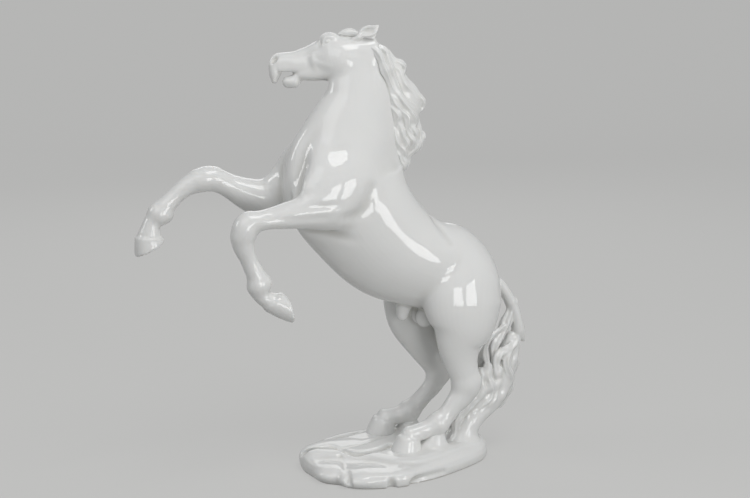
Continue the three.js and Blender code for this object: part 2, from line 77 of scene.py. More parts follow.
# Each section row is a place (x, y, z), a half width across the horse and either one half depth or one
# towards the back and one towards the belly.
SPINE = (
    (95, 0, 112, 11, 7, 12), (91, 0, 115, 19, 12, 22), (70, 0, 130, 28, 29, 36),
    (57, 0, 135.5, 28.5, 33.4, 37), (43.5, 0, 140.3, 31, 32.6, 37), (17.8, 0, 154.3, 31.5, 34.5, 43.5),
    (-7.3, 0, 181.7, 31, 37.5, 48), (-21, 0, 210.2, 28, 40, 50), (-18, 0, 233, 24, 34, 42),
    (-13, 0, 251, 20.8, 26, 35), (-9, 0, 268, 17, 19, 29), (-8, 0, 283, 13.4, 14, 26),
    (-8, 0, 299, 7.4, 9, 18),
)
CREST = (
    (-5, 0, 300, 6.5, 7), (-1, 0, 289, 8, 8), (2.5, 0, 277, 9, 9), (4.5, 0, 265, 9.8, 10),
    (5, 0, 252, 10.4, 11), (5.5, 0, 239, 11, 11), (8, 0, 225, 11.5, 10), (12, 0, 212, 11, 8),
    (14, 0, 200, 10, 6), (14, 0, 188, 9, 4),
)
THROAT = np.array((-13.0, 0.0, 285.0))  # where the head is luted to the neck
THROAT_HEADING = 60.0
CUT_DEPTH = 50.0  # how far below the throat the cut reaches
CUT_MERGE = 1e-7  # metres within which a corner counts as on the cut

# Legs: the fillet at the root, section rows for each bone, joints as a place, three radii and a pitch, and
# the two ends of the hoof as a place, the heading that it faces, a half width and a half depth
NEAR_FORELEG = {
    "root": 10,
    "bones": (
        ((-40, -22, 190, 13, 15), (-55, -24, 190, 12.5, 13.5), (-68, -25, 189, 11, 11.2),
         (-81, -25, 187.3, 9.5, 8.9), (-92, -25, 186, 8.2, 7.4), (-101, -25, 184.5, 8, 8)),
        ((-109, -25, 174, 7.6, 8.6), (-107.7, -25, 166, 6.8, 7.6), (-105.7, -25, 160.5, 6, 6.5),
         (-103, -25, 153.7, 5.8, 6.4), (-99.8, -25, 147, 6.4, 7), (-97.5, -25, 140.5, 7, 7.6)),
        ((-98, -25, 137, 7, 7.4), (-95.8, -25, 130.5, 6, 5.8), (-91, -25, 127, 6.6, 6.6),
         (-88, -25, 125, 7.2, 7.4)),
    ),
    "joints": (((-107, -25, 180), (9.6, 8.8, 13.2), 22), ((-98.3, -25, 138.5), (7.8, 7.6, 8.4), 0),
               ((-94, -25, 140.3), (6, 6, 6.2), 0)),
    "coronet": (-89, -25, 126.6, -132, 8.2, 8.6),
    "sole": (-74.2, -25, 117.9, -190, 9.6, 9.6),
}
FAR_FORELEG = {
    "root": 6,
    "bones": (
        ((-60, 20, 189, 13, 16), (-74, 22, 191, 12.5, 15.5), (-88, 23, 195, 11.5, 13),
         (-100.4, 23, 200.8, 9.5, 10), (-108.7, 23, 205.3, 8.3, 8.6), (-116.5, 23, 209.2, 8, 9)),
        ((-130, 23, 208.2, 7.6, 8.4), (-136, 23, 205.5, 6.8, 7.4), (-142, 23, 201.7, 6, 6.5),
         (-147.5, 23, 197, 5.8, 6.4), (-153, 23, 191.7, 6.4, 7.2), (-158, 23, 186.5, 7, 7.8)),
        ((-159.5, 23, 184.5, 7, 7.4), (-163, 23, 180.5, 6.2, 6.6), (-165, 23, 175, 6.9, 7.4),
         (-165.7, 23, 171, 7.7, 8.8)),
    ),
    "joints": (((-123, 23, 209.7), (12.5, 8.8, 9.4), -8), ((-158.5, 23, 186.2), (7.9, 7.6, 8.4), 0),
               ((-154, 23, 184.8), (6, 6, 6), 0)),
    "coronet": (-165.7, 23, 169.7, -84, 9, 10.7),
    "sole": (-166.4, 23, 160.1, -115, 10.5, 11.5),
}
NEAR_HIND_LEG = {
    "root": 10,
    "bones": (
        ((64, -8, 147, 12, 8), (66, -14, 139, 15, 17), (65, -19, 127, 16.3, 27), (62, -22, 112, 16.5, 31),
         (62, -23, 101, 16, 28.2), (61, -24, 90, 14.2, 23.8), (58.6, -24, 79.5, 11.5, 17),
         (60, -24, 69.5, 9.6, 14), (63.3, -24, 57.5, 8.4, 11.8), (66, -24, 50, 8.2, 10.6)),
        ((65, -24, 44, 8, 10.5), (61, -24, 38, 7.4, 9.4), (55, -24, 31.5, 6.6, 7.8),
         (49.8, -24, 25.3, 6.4, 7.4), (43, -24, 19.3, 7.2, 8.2)),
        ((42, -24, 18.5, 7.2, 8), (35.5, -24, 15.8, 6.8, 7.3), (26.5, -24, 13.5, 6.5, 6.7),
         (19.5, -24, 12, 7, 7.2)),
    ),
    "joints": (((66, -24, 48.5), (12.3, 8.4, 11), 0), ((42.5, -24, 18.5), (8.8, 8, 8.6), 0)),
    "coronet": (18.8, -24, 11, -75, 8.4, 8.6),
    "sole": (16.4, -24, 0, -90, 11, 12.3),
}
FAR_HIND_LEG = {
    "root": 10,
    "bones": (
        ((64, 8, 147, 12, 8), (64, 14, 139, 15, 17), (58, 19, 127, 16.3, 28), (46, 21, 114, 16.5, 30),
         (41, 22, 101, 15.5, 26.5), (39.5, 22, 89.5, 13.5, 20.5), (43.5, 22, 76.5, 11, 15),
         (51, 22, 63.5, 9.4, 12), (58, 22, 53, 8.4, 10.6), (61.5, 22, 46, 8.2, 9.6)),
        ((61, 22, 42, 7.6, 9), (55.5, 22, 33, 6.6, 7.6), (50, 22, 27.5, 6.2, 7), (44.5, 22, 22, 6.4, 7.2),
         (37, 22, 15.5, 7.2, 8.4)),
        ((36, 22, 15, 7.2, 8), (30, 22, 13.2, 6.8, 7.4), (23, 22, 12.3, 6.5, 6.9), (16, 22, 12, 7, 7.2)),
    ),
    "joints": (((62, 22, 45), (9.4, 8.2, 10), 0), ((36.5, 22, 14.8), (8.8, 8, 8.6), 0)),
    "coronet": (15.4, 22, 12, -70, 8.4, 8.6),
    "sole": (12.5, 22, 0, -90, 11, 12.2),
}
LEGS = (NEAR_FORELEG, FAR_FORELEG, NEAR_HIND_LEG, FAR_HIND_LEG)
LOWER_BONE_FILLETS = (5, 3)
# A hoof's rings: how far each lies from the coronet to the sole, and its share of the full size
HOOF_SHARES = np.array((0.0, 0.0, 0.12, 0.3, 0.55, 0.8, 0.94, 1.0, 1.0))
HOOF_SIZES = np.array((0.02, 0.93, 1.0, 0.99, 0.995, 1.0, 1.0, 0.985, 0.02))

# Shoulders: the places of both, the radii of the muscle there, and rows measured from the place, outwards
SHOULDERS = ((-36, -20, 203), (-48, 20, 200))
SHOULDER_RADII = (29, 13, 23)
SHOULDER_BLADE = ((24, -8, 34, 6, 9), (12, -2, 18, 9, 14), (-2, 1, 2, 12, 18), (-12, 2, -9, 12, 15))
BREAST_MUSCLE = (
    (8, -10, 38, 6, 6), (-2, -8, 30, 8, 8), (-10, -5, 22.5, 9, 9), (-14.5, -2, 12, 10, 9.5),
    (-22, 0, 2, 10, 10),
)
# Folds of the near side, each a radius and the places that it passes through
FOLDS = (
    (8, (-52, -20, 254), (-57, -17.5, 246), (-62.5, -16.5, 238), (-65.5, -17.5, 228), (-68.5, -18.5, 218),
     (-72, -21, 208)),
    (5, (-11.5, -35.5, 206), (-17, -36, 194), (-24, -35.6, 186), (-34, -38.6, 183.5)),
    (4, (45, -12, 178.5), (47, -17.5, 173), (49.5, -22, 168), (52.5, -27.5, 161)),
    (4, (-63, -6, 170), (-49, -20.8, 170.6), (-36, -27.5, 168.5), (-26, -33, 166)),
    (2.6, (-40, -41, 195), (-52, -38.9, 195), (-69.5, -37.4, 194.4), (-89, -32.2, 194.6)),
    (2.6, (-42, -41, 186), (-56, -38.8, 186.2), (-73, -37.7, 186.3), (-92, -35.2, 189.2)),
)
BUTTOCK = (
    (78.5, 10, 125, 11.5, 11.5), (79.5, 13, 108, 14.5, 17), (72, 17, 93, 13, 16), (64, 20, 80, 11, 13),
)
SHEATH = ((24, 0, 116, 5, 6), (23, 0, 106, 5.5, 6), (22, 0, 100, 4.5, 4.5))
SCROTUM = (39, 4.2, 98)
SCROTUM_RADII = (7.5, 6.2, 8)

# The head in its own frame, with the poll at the origin and the face towards -X
POLL = np.array((-7.0, 0.0, 307.0))  # where that origin lies in the modelling frame
HEAD_TURN = {"yaw": -20.0, "nod": -17.0, "tilt": -15.0}
SKULL = (
    (6, 0, -4, 5.8, 5, 11), (-6, 0, -4, 8.2, 10, 15), (-19, 0, -3.5, 11.4, 14, 15),
    (-27, 0, -2, 11.2, 13.5, 16.5), (-34, 0, -1, 10.2, 12.8, 17), (-39, 0, -0.6, 9.3, 11.8, 16.2),
    (-43, 0, -0.2, 8, 10.6, 15.6), (-47.5, 0, 0.4, 7.5, 9.7, 14.6), (-51.5, 0, 1.4, 7.2, 8.8, 12.5),
    (-55.5, 0, 3, 7.2, 7.2, 6.8), (-60, 0, 4.6, 7.3, 6.2, 5.6), (-64, 0, 4.9, 7.3, 6.8, 5.8),
)
UPPER_LIP = (
    (-61, 0, 4.4, 7.2, 6.2), (-66, 0, 4, 7.4, 6.2), (-69, 0, 0.5, 7, 5.2), (-70.9, 0, -3.8, 6.2, 3.8),
    (-72.2, 0, -7.2, 4.4, 2.2),
)
JAW = (
    (-44, 0, -7, 6.4, 5), (-50, 0, -7.6, 5.8, 4.4), (-55, 0, -9.4, 5.4, 3.8), (-58.5, 0, -11.4, 5.4, 4.6),
    (-62, 0, -11.2, 5.4, 4.4), (-64.4, 0, -11.4, 4.4, 3.4),
)
CHIN = ((-63, 0, -10.8), (3.6, 5, 4.2))
CHIN_PAD = ((-58, 0, -12), (3.8, 4.6, 4.4))
# What both sides of the face have, written for the far side: a place and three radii, or section rows
CHEEK = ((-23, 5.6, -5.5), (13, 7.2, 12))
BROW = ((-25.5, 6, 8), (7.4, 4.4, 6.4))
CHEEK_RIDGE = ((-38, 7.4, -4.5, 1.5, 1.5), (-34, 8.2, -7.5, 1.8, 1.8), (-29, 9, -10.5, 1.5, 1.5))
FACE_RIDGE = ((-39.5, 7.2, 2.5, 1.0, 1.0), (-40, 7.1, -3, 1.2, 1.2), (-39.5, 6.2, -9, 1.0, 1.0))
JAWBONE = (
    (-23, 6, -10.5, 2.2, 3.4), (-34, 5.7, -12, 2.4, 4), (-43, 4.8, -11, 2.2, 3.8), (-51, 4, -9, 1.8, 3),
)
LIP_CORNER = (-47, 5.6, -3, 1.6, 3)
LIP_EDGE = ((-53.5, 5.6, -1.8, 1.7, 4.4), (-59, 5.5, -0.4, 1.7, 4.4), (-65, 5.4, 0.8, 1.6, 3.8))
FAR_LIP_LIFT = 2.5  # how much less the far lip hangs down
TEAR_HOLLOW = ((-32.8, 10.8, 8.6), (2.4, 2.8, 4))
FACE_GROOVE = ((-46, 8.2, 4.2, 0.8, 0.8), (-40.5, 8.9, 4.8, 1.4, 1.4), (-34.5, 10.2, 6.2, 1.2, 1.2))
EYE_SOCKET = ((-29.6, 10.6, 6.2, 0.6, 0.6), (-26.4, 11.2, 7.4, 1.2, 1.6), (-22.6, 11, 7.6, 0.6, 0.6))
EYEBALL = ((-25.8, 8.4, 7.2), (3.1, 2.5, 2.3))
UPPER_LID = (
    (-30, 9, 7.6, 0.5, 0.5), (-27.6, 9.9, 9.9, 0.9, 0.9), (-24, 10, 10.2, 0.9, 0.9),
    (-20.6, 9.6, 8.2, 0.5, 0.5),
)
NOSTRIL_WING = ((-64.5, 4.6, 9.6, 1.4, 1.4), (-68.6, 4.8, 7.6, 1.7, 1.7), (-70.6, 4.6, 3.6, 1.4, 1.4))
NOSTRIL = (
    (-63.4, 6.4, 9.8, 0.6, 0.6), (-65.4, 6.9, 7.9, 1.7, 1.7), (-67.4, 6.8, 6.2, 2.1, 2.1),
    (-69.2, 6.2, 4.6, 1, 1),
)
JAW_GROOVE = (
    (-22, 0, -22, 3.5, 4), (-34, 0, -20.5, 4, 4.5), (-43, 0, -18.5, 3.6, 4.4), (-51, 0, -15.5, 2.4, 3),
)
EAR_ROOT = (-8, 6, 3, 2.6, 2.4)
EAR = (
    (-3.5, 7, 4, 2.6, 2.4), (0.2, 7.8, 5.6, 2.4, 3.7), (4.7, 8.3, 5.5, 2.2, 4.6), (9, 8.6, 6.1, 1.6, 3.3),
    (12.2, 8.6, 7.7, 0.6, 0.8),
)
EAR_BOWL = (
    (-2.5, 10.2, 4.2, 1.4, 1.2), (1, 10.9, 5.6, 2.6, 2.5), (4.7, 11.2, 5.5, 3, 3.2),
    (8.5, 10.8, 6.2, 2.2, 2.1), (11, 9.6, 7, 0.6, 0.6),
)
FAR_EAR_SHIFT = -3.0
# The forelock's strands: how far across each lies and its half width. Its rows are a place along, a share
# of how far across, a height, a share of the half width and a half depth.
FORELOCK_STRANDS = ((-3.2, 2.4), (0.4, 2.8), (3.6, 2.4))
FORELOCK_ROWS = (
    (-4, 0.7, 7, 1, 2), (-8, 1, 9.8, 1, 2.9), (-12, 1, 11, 0.9, 2.6), (-16.5, 0.8, 11.6, 0.5, 1.0),
)

# Hair: each lock is a radius and the places that it passes through
MANE_CORE = (
    (-6, 0, 303, 5, 5), (1, 0, 301, 6.5, 5.5), (7, 0, 294, 7.5, 6.5), (13, 0, 285.5, 8.5, 8),
    (18.5, 0, 275, 9, 9.5), (22.5, 0, 264, 9, 13), (22.5, 0, 254, 9, 12.5), (23.5, 0, 240, 8.5, 10),
    (23.5, 0, 229, 7.5, 8), (22, 0, 217, 4.5, 4),
)
MANE_ROOTS = (
    (-10, 0, 304, 7.5, 4), (-4, 0, 302, 9.8, 5.5), (2, 0, 292, 10.4, 6.5), (7, 0, 280, 11, 7.5),
    (11.5, 0, 268, 11.4, 8), (13.5, 0, 257, 11.6, 8), (14.5, 0, 246, 11.4, 7.5), (16, 0, 235, 10.8, 7),
    (18.5, 0, 223, 8.6, 5), (20.5, 0, 213, 5, 3),
)
MANE_LOCKS = (
    (3.2, (-7, -5, 304), (-4, -8.5, 303), (-1, -10, 299), (1, -10.5, 294), (3, -10.5, 288),
     (6, -10.5, 281), (9, -10, 274), (14, -10, 267)),
    (2.8, (-3, -2, 304), (1, -6, 304), (5, -7, 301), (6.5, -8, 296), (8, -9, 290), (10.5, -9, 283),
     (13, -9, 276), (17, -9, 268), (24, -8, 262), (30, -6, 256), (31, -4, 252)),
    (2.8, (0, 0, 303), (5, -2, 302.5), (9.5, -3, 297.5), (14, -4, 293.5), (19, -4, 290.5), (21, -4, 287),
     (18, -5, 284), (14, -6, 286)),
    (2.8, (8, -4, 293), (12, -6, 290), (16, -6, 287), (17.5, -7, 282), (20, -7, 276.5), (25, -6.5, 270.5),
     (30, -5.5, 264), (33, -4, 257)),
    (2.8, (19, -1, 281), (23.5, -3, 278), (28, -3, 273), (33, -3, 267), (36.5, -2, 262), (36.5, -2, 258),
     (34, -3, 256)),
    (2.8, (9, -7, 281), (13, -9, 273), (17, -9.5, 265), (22, -9, 259), (27, -7.5, 252), (29, -6.5, 247),
     (25, -7, 245)),
    (2.8, (7, -8, 274), (9, -10, 268), (13, -10, 261), (17, -9.5, 257), (22, -9, 251), (22, -9, 245),
     (25, -8, 240), (26, -7.5, 234)),
    (2.8, (8, -8, 262), (11, -10.5, 258), (13.5, -10.5, 254), (13, -10, 250), (11, -9, 247)),
    (2.8, (13, -8, 251), (16, -10, 246), (17, -10, 242), (19, -10, 237), (21, -9.5, 233), (18, -9, 228),
     (16, -8, 225)),
    (2.6, (11, -8, 246), (12, -10, 241), (13, -10, 235), (16, -9.5, 231), (19, -9, 228), (20, -8, 223),
     (17, -7, 220)),
    (2.8, (24, -6, 250), (26, -7.5, 245), (29, -6.5, 240), (30.5, -5.5, 235), (30, -5, 229),
     (27, -5, 226), (24, -5, 224)),
    (2.4, (21, -7, 244), (24, -8.5, 238), (27, -7.5, 234), (26, -7, 229)),
    (2.4, (10, -8, 236), (12, -9, 229), (15, -8.5, 225), (17, -8, 220), (20, -7, 216), (22, -5, 213)),
    (2.4, (15, -7, 228), (19, -8, 222), (21, -7, 218), (22, -5, 214)),
    (2.8, (31, -2, 255), (32, -2, 249), (33, -2, 243), (34.5, -2, 236), (33.5, -2.5, 230),
     (30, -3, 225.5), (26, -3, 223)),
    (1.9, (32, -1, 242), (36, -1.5, 238), (38, -1.5, 236), (37, -1.5, 233)),
    (2.2, (26, -3, 227), (25, -3, 222), (24, -3, 217), (23, -3, 213)),
)

STRAND_SWELL = 0.14
STRAND_TURN = 0.09  # radians for each millimetre along a lock
LOCK_WAVE = 0.12  # how much thicker and thinner a lock is by turns
LOCK_ROOT = 0.82  # share of its radius that a lock has at the root
LOCK_GAIN, LOCK_LOSS = 0.3, 1.3  # how fast it swells up to the peak and thins after it
LOCK_PEAK = 0.6  # share of its length at which a lock is thickest
FAR_REACH = 0.95  # how far across a far lock lies, as a share of the near one
FAR_TURN = 1.3  # radians from one far lock's shift to the next one's
FAR_SHIFT = (1.4, 1.8)  # most that a far lock is shifted along and up
LEAN_TOP = 60.0  # height below which the tail leans to the near side
TAIL_LEAN = 0.2
TAIL_FAR_LOCKS = (2, 4, 7, 8, 9)
TAIL_BAND = (
    (92, 0, 122.5, 5, 5), (101.5, 0, 118.5, 5.5, 4.8), (108, 0, 110.8, 5.5, 4.5),
    (112.3, 0, 103.5, 5.5, 4.6), (115.5, 0, 96, 5.5, 4.6), (118.5, 0, 86, 6, 4.8), (120.5, 0, 78, 5.5, 5),
    (124, 0, 71.5, 2.6, 2),
)
TAIL_CORE = (
    (115, 0, 74, 5, 6), (112, -1, 64, 7, 8), (108, -1, 55, 8.5, 10), (103.5, -2, 45, 9.5, 11.5),
    (99.5, -3, 35, 9.5, 11.5), (93, -5, 25, 9, 9), (83.5, -7.5, 18.5, 8.5, 8.5), (75, -10, 13, 9.5, 9.5),
    (70.5, -11, 5, 10, 11), (69, -12, -5, 14, 17),
)
TAIL_LOCKS = (
    (4.4, (114, -1, 103), (112, -1, 95), (108, -2, 87), (104, -3, 80), (98, -4, 72), (96, -5, 65),
     (98, -6, 57)),
    (2.5, (105, -5, 85), (98, -6, 81), (92, -7, 77), (89, -7, 70), (89, -7, 63), (91, -8, 56),
     (94, -9, 48), (95, -10, 42)),
    (3.8, (118, 0, 78), (117, -3, 72), (112, -5, 68), (105, -7, 66), (99, -8, 63), (97, -9, 56),
     (98, -10, 49), (100, -10, 42), (98, -10, 35)),
    (3.2, (117, -2, 68), (116, -3, 61), (116, -3, 54), (114, -3, 48), (111, -4, 43), (108, -5, 38)),
    (3.4, (114, -3, 70), (110, -7, 65), (106, -9, 59), (106, -10, 53), (109, -9, 46), (109, -8, 39),
     (104, -8, 35)),
    (3.6, (113, -2, 46), (113, -3, 40), (111, -3, 34), (107, -4, 29), (100, -5, 26)),
    (3.4, (109, -3, 34), (107, -4, 28), (102, -5, 23), (95, -7, 22), (87, -9, 19), (81, -11, 15)),
    (3.6, (90, -9, 55), (89, -11, 49), (91, -12, 41), (92, -12, 34), (88, -12, 29), (82, -12, 25),
     (75, -13, 22), (71, -15, 17), (70, -16, 8), (73, -17, -2)),
    (4.2, (84, -9, 51), (84, -11, 43), (83, -12, 36), (78, -13, 30), (71, -14, 26), (66, -15, 21),
     (62, -15, 15), (61, -15, 8), (56, -16, -1)),
    (3.2, (99, -10, 41), (97, -11, 35), (95, -11, 29), (88, -12, 25), (81, -12, 20), (77, -12, 14),
     (76, -12, 6), (79, -13, -4)),
    (2.6, (106, 3, 21), (99, 3, 17), (92, 2, 14), (85, 0, 11), (79, -2, 6), (79, -4, -4)),
    (2.6, (101, 6, 71), (93, 6, 64), (91, 6, 56), (93, 4, 48), (97, 2, 40)),
)
KNOB_TILT = 28.0  # how far the knobs of the brush lean with its sweep
KNOB_RADII = (3.4, 3.0, 5.2)
TAIL_KNOBS = (
    (88, -11, 50), (98, -11, 50), (97, -11, 41), (90, -12.5, 40), (82.5, -13.5, 35), (92, -12, 27),
    (80.5, -12.5, 26), (106, -8, 65), (113, -6, 57), (102, -10, 31), (109, -6.5, 40),
)

# The plinth: a shelf and the ledge on it, each a plan outline, with rounded edges and a foot drawn in
SHELF_TOP = 11.0
EDGE_ROUND = 5.0
FOOT_INSET = 1.5
PLINTH_WALL = 4.5
HOLLOW_START = 4.0  # how far below the foot the form of the hollow begins
FOOT_CURVE = ((0.4, 1.2), (0, 3))  # inset and height of the points that round the foot's edge
EDGE_CURVE = 0.3  # share of the edge's round at which its middle point lies
SHELF_PLAN = ((89, -6), (80, 14), (58, 31), (28, 40), (-4, 39), (-30, 31), (-52, 16), (-58, -6), (-53, -28),
              (-38, -45), (-20, -57), (0, -60), (16, -56), (34, -51), (62, -38), (82, -24))
LEDGE_PLAN = ((86, -6), (78, 12), (56, 28), (28, 37), (-4, 36), (-28, 28), (-49, 14), (-54, -2), (-40, -10),
              (-16, -22), (4, -42), (28, -44), (56, -32), (76, -20))

# Rock: lumps as a place and three radii, the props that rise under the fetlocks as section rows, and
# creases as a radius and the places that they pass through
ROCK_LUMPS = (
    ((-48, 5, -6.5), (11, 13, 7)), ((-50, 2, -11), (8, 13, 4)), ((-45, -26, -9.5), (12, 13, 6.5)),
    ((-22, -43, -10), (22, 14, 7)), ((2, -49, -10), (10, 9, 6.5)), ((-30, 11, -4), (24, 8, 5)),
    ((-8, 23, -3.5), (20, 10, 4.5)), ((18, 22, -4), (18, 13, 5.5)), ((20, -24, -4.5), (20, 15, 6)),
    ((67, -12, -5), (18, 14, 6.5)), ((58, 24, -9), (20, 10, 6)), ((24, 34, -10), (18, 8, 6)),
    ((-12, 33, -10), (17, 8, 6)), ((-38, 22, -10), (13, 9, 6)),
)
ROCK_PROPS = (
    ((38, -23, -8, 17, 20), (39, -23, -2, 12.5, 15), (40, -24, 4, 9, 10.5), (42, -24, 12, 5.5, 6)),
    ((37, 21, -8, 16, 18), (37, 21, -2, 12, 13), (36.5, 22, 3, 8.5, 9.5), (36.5, 22, 10, 5.5, 6)),
)
ROCK_CREASES = (
    (2.0, (-33, -14, -1), (-36, -32, -2), (-38, -46.5, -5), (-39, -53, -14)),
    (2.6, (-60, 5, -3), (-48, 3, -1.5), (-35, 3, 0), (-25, -12, -1.5), (-6, -17, -1), (9, -9, 0.5)),
    (1.8, (-32, 22, 0.5), (-14, 22.5, 1.5), (4, 30, 2)),
    (1.6, (-26, -2, 1), (-12, 0.5, 1.5), (3, 7, 2.2), (17, 12, 3)),
    (3.2, (-9, -61, -8), (-8, -59, -15)),
    (2.6, (8, -56.5, -12), (22, -55.5, -10.5), (38, -51, -10.5)),
)

# The block of clay for each piece, from its lowest to its highest corner, and the rounds of smoothing after
PLINTH_BLOCK = ((-66, -67, -17), (98, 47, 18))
BODY_BLOCK = ((-190, -45, -6), (118, 45, 340))
HEAD_BLOCK = ((-95, -35, 255), (35, 45, 335))
MANE_BLOCK = ((-20, -20, 200), (50, 20, 315))
TAIL_BLOCK = ((55, -32, -12), (135, 22, 140))
PLINTH_GRAIN = 0.9
PLINTH_ROUNDS, BODY_ROUNDS, HEAD_ROUNDS, HAIR_ROUNDS = 6, 8, 4, 3

# The glaze: cloud and ripple scales to the metre, what hollows and clouds add to the pooled colour, which
# is partly pooled glaze and partly painted shade in creases, and roughness of the glaze, of its clouds and of
# the bare rim
CLOUD_SCALE, RIPPLE_SCALE = 22.0, 130.0
POOL_AND_SHADE_SHARE, CLOUD_SHARE = 0.55, 0.25
BODY_ROUGHNESS, CLOUD_ROUGHNESS, BARE_ROUGHNESS = 0.16, 0.12, 0.4
RIM_SHARPNESS = 2000.0  # how fast the glaze sets in above the bare rim, to the metre
RIPPLE_STRENGTH, RIPPLE_DEPTH = 0.05, 0.001
GLASS_IOR = 1.5
BODY_GLOW = 0.08  # share of the light that goes through the body
GLOW_REACH = (0.004, 0.0035, 0.003)

# The stage: the paper in metres, the camera in millimetres and degrees
SWEEP_HALF = 2.5  # half the paper's width, and how far it reaches to the front
SWEEP_BACK, SWEEP_BEND = 1.4, 0.6  # where it starts to bend up, and the radius of the bend
WALL_START, WALL_TOP = 0.7, 2.4  # heights of the upright paper's first and last rows
FLOOR_ROWS, BEND_ROWS, WALL_ROWS = 24, 16, 8
WALL_STRENGTH = 0.78
AIM = np.array((0.0, 0.0, 168.0 - LEDGE_TOP))
VIEW_AZIMUTH = -20.0
VIEW_ELEVATION = 12.0
VIEW_DISTANCE = 1150.0
LENS = 73.58
SENSOR_WIDTH = 36.0
# Softboxes: azimuth, elevation, distance, width and height in metres, and the setting with the power
SOFTBOXES = {
    "left_pane": (6, 4, 1100, (0.3, 0.4), "window_power"),
    "right_pane": (28, 4, 1100, (0.3, 0.4), "window_power"),
    "face_softbox": (-42, 40, 1100, (0.6, 0.5), "face_power"),
    "side_softbox": (-100, 28, 1200, (0.3, 0.42), "side_power"),
    "top_softbox": (20, 62, 1000, (0.5, 0.4), "top_power"),
    "front_softbox": (-5, 16, 1500, (1.3, 1.0), "front_power"),
    "back_softbox": (165, 32, 1200, (0.9, 0.7), "back_power"),
}


def heading(degrees):
    """A direction in the median plane: 0 points forward and 90 straight up."""
    angle = math.radians(degrees)
    return np.array((-math.cos(angle), 0.0, math.sin(angle)))


def spline(knots, count):
    """Points spread evenly along a natural cubic spline: on each span the cubic whose second
    derivatives, found from one linear system, equal those of the spans beside it."""
    knots = np.asarray(knots, float)
    steps = np.linalg.norm(np.diff(knots[:, :3], axis=0), axis=1)
    at = np.concatenate(([0.0], np.cumsum(steps)))
    slopes = np.diff(knots, axis=0) / steps[:, None]
    system = np.eye(len(knots))
    wanted = np.zeros_like(knots)
    inner = np.arange(1, len(knots) - 1)
    system[inner, inner - 1] = steps[:-1]
    system[inner, inner] = 2 * (steps[:-1] + steps[1:])
    system[inner, inner + 1] = steps[1:]
    wanted[1:-1] = 6 * np.diff(slopes, axis=0)
    bends = np.linalg.solve(system, wanted)
    along = np.linspace(0, at[-1], count)
    span = np.clip(np.searchsorted(at, along, side="right") - 1, 0, len(steps) - 1)
    before = ((at[span + 1] - along) / steps[span])[:, None]
    after = 1 - before
    curve = (before**3 - before) * bends[span] + (after**3 - after) * bends[span + 1]
    return before * knots[span] + after * knots[span + 1] + curve * (steps[span] ** 2 / 6)[:, None]


def unit(vectors):
    """Vectors divided by their lengths."""
    return vectors / np.linalg.norm(vectors, axis=-1, keepdims=True)


def rings_form(rings):
    """Points and quads of a skin over closed rings, an array of rings by points by three."""
    count, sides = rings.shape[:2]
    i, j = np.meshgrid(np.arange(count - 1), np.arange(sides), indexing="ij")
    a = i * sides + j
    b = i * sides + (j + 1) % sides
    quads = np.stack((a, b, b + sides, a + sides), -1).reshape(-1, 4)
    return rings.reshape(-1, 3), quads


def rows(sections):
    """Section rows filled up to place, half width, half depth to the back and half depth to the belly."""
    return np.array([(*row[:5], row[-1]) for row in sections], float)


def on_side(side, sections):
    """Rows written for the far side, set on a side: the place across is multiplied by -1 or 1."""
    return [(x, side * y, *rest) for x, y, *rest in sections]


def roped(row):
    """Section rows of a round rope, given as a radius and the places that it passes through."""
    radius, *places = row
    return [(*place, radius, radius) for place in places]


def tube(sections, sides=40, step=1.5, dome=1.0, strands=0):
    """An egg-shaped section carried along a spline. At the angle a round the section a point lies the
    half width times sin a across, and one of the half depths times cos a towards back or belly. Past
    both ends the section shrinks with the cosine of an angle while it moves on with the sine. Strands
    swell the section by the cosine of so many times the angle, which turns as the section goes on."""
    knots = rows(sections)
    length = np.linalg.norm(np.diff(knots[:, :3], axis=0), axis=1).sum()
    path = spline(knots, max(int(length / step), 6))
    path[:, 3:] = np.maximum(path[:, 3:], THINNEST)
    along = unit(np.gradient(path[:, :3], axis=0))
    turn = np.radians(CAP_ANGLES)
    ends = []
    for row, tangent, sense in ((path[0], along[0], -1), (path[-1], along[-1], 1)):
        bend = turn if sense < 0 else turn[::-1]
        cap = np.repeat(row[None], len(bend), 0)
        cap[:, :3] += sense * dome * row[3:].min() * np.sin(bend)[:, None] * tangent
        cap[:, 3:] *= np.cos(bend)[:, None] + CLOSED
        ends.append((cap, np.repeat(tangent[None], len(bend), 0)))
    path = np.concatenate((ends[0][0], path, ends[1][0]))
    along = np.concatenate((ends[0][1], along, ends[1][1]))
    side = unit(ACROSS - (along @ ACROSS)[:, None] * along)
    upward = np.cross(side, along)
    angle = np.linspace(0, 2 * np.pi, sides, endpoint=False)
    swell = 1.0
    if strands:
        turned = STRAND_TURN * step * np.arange(len(path))[:, None]
        swell = 1 + STRAND_SWELL * np.cos(strands * angle + turned)
    depth = np.where(np.cos(angle) > 0, path[:, 4:5], path[:, 5:6]) * np.cos(angle) * swell
    width = path[:, 3:4] * np.sin(angle) * swell
    rings = path[:, None, :3] + width[..., None] * side[:, None] + depth[..., None] * upward[:, None]
    return rings_form(rings)


def rotation(axis, degrees):
    """A turn about X, Y or Z, numbered 0 to 2: each of the other two axes keeps the cosine of itself and
    takes the sine from the other, less for the first of them and more for the second."""
    turn = math.radians(degrees)
    first, second = (axis + 1) % 3, (axis + 2) % 3
    matrix = np.eye(3)
    matrix[first, first] = matrix[second, second] = math.cos(turn)
    matrix[first, second], matrix[second, first] = -math.sin(turn), math.sin(turn)
    return matrix


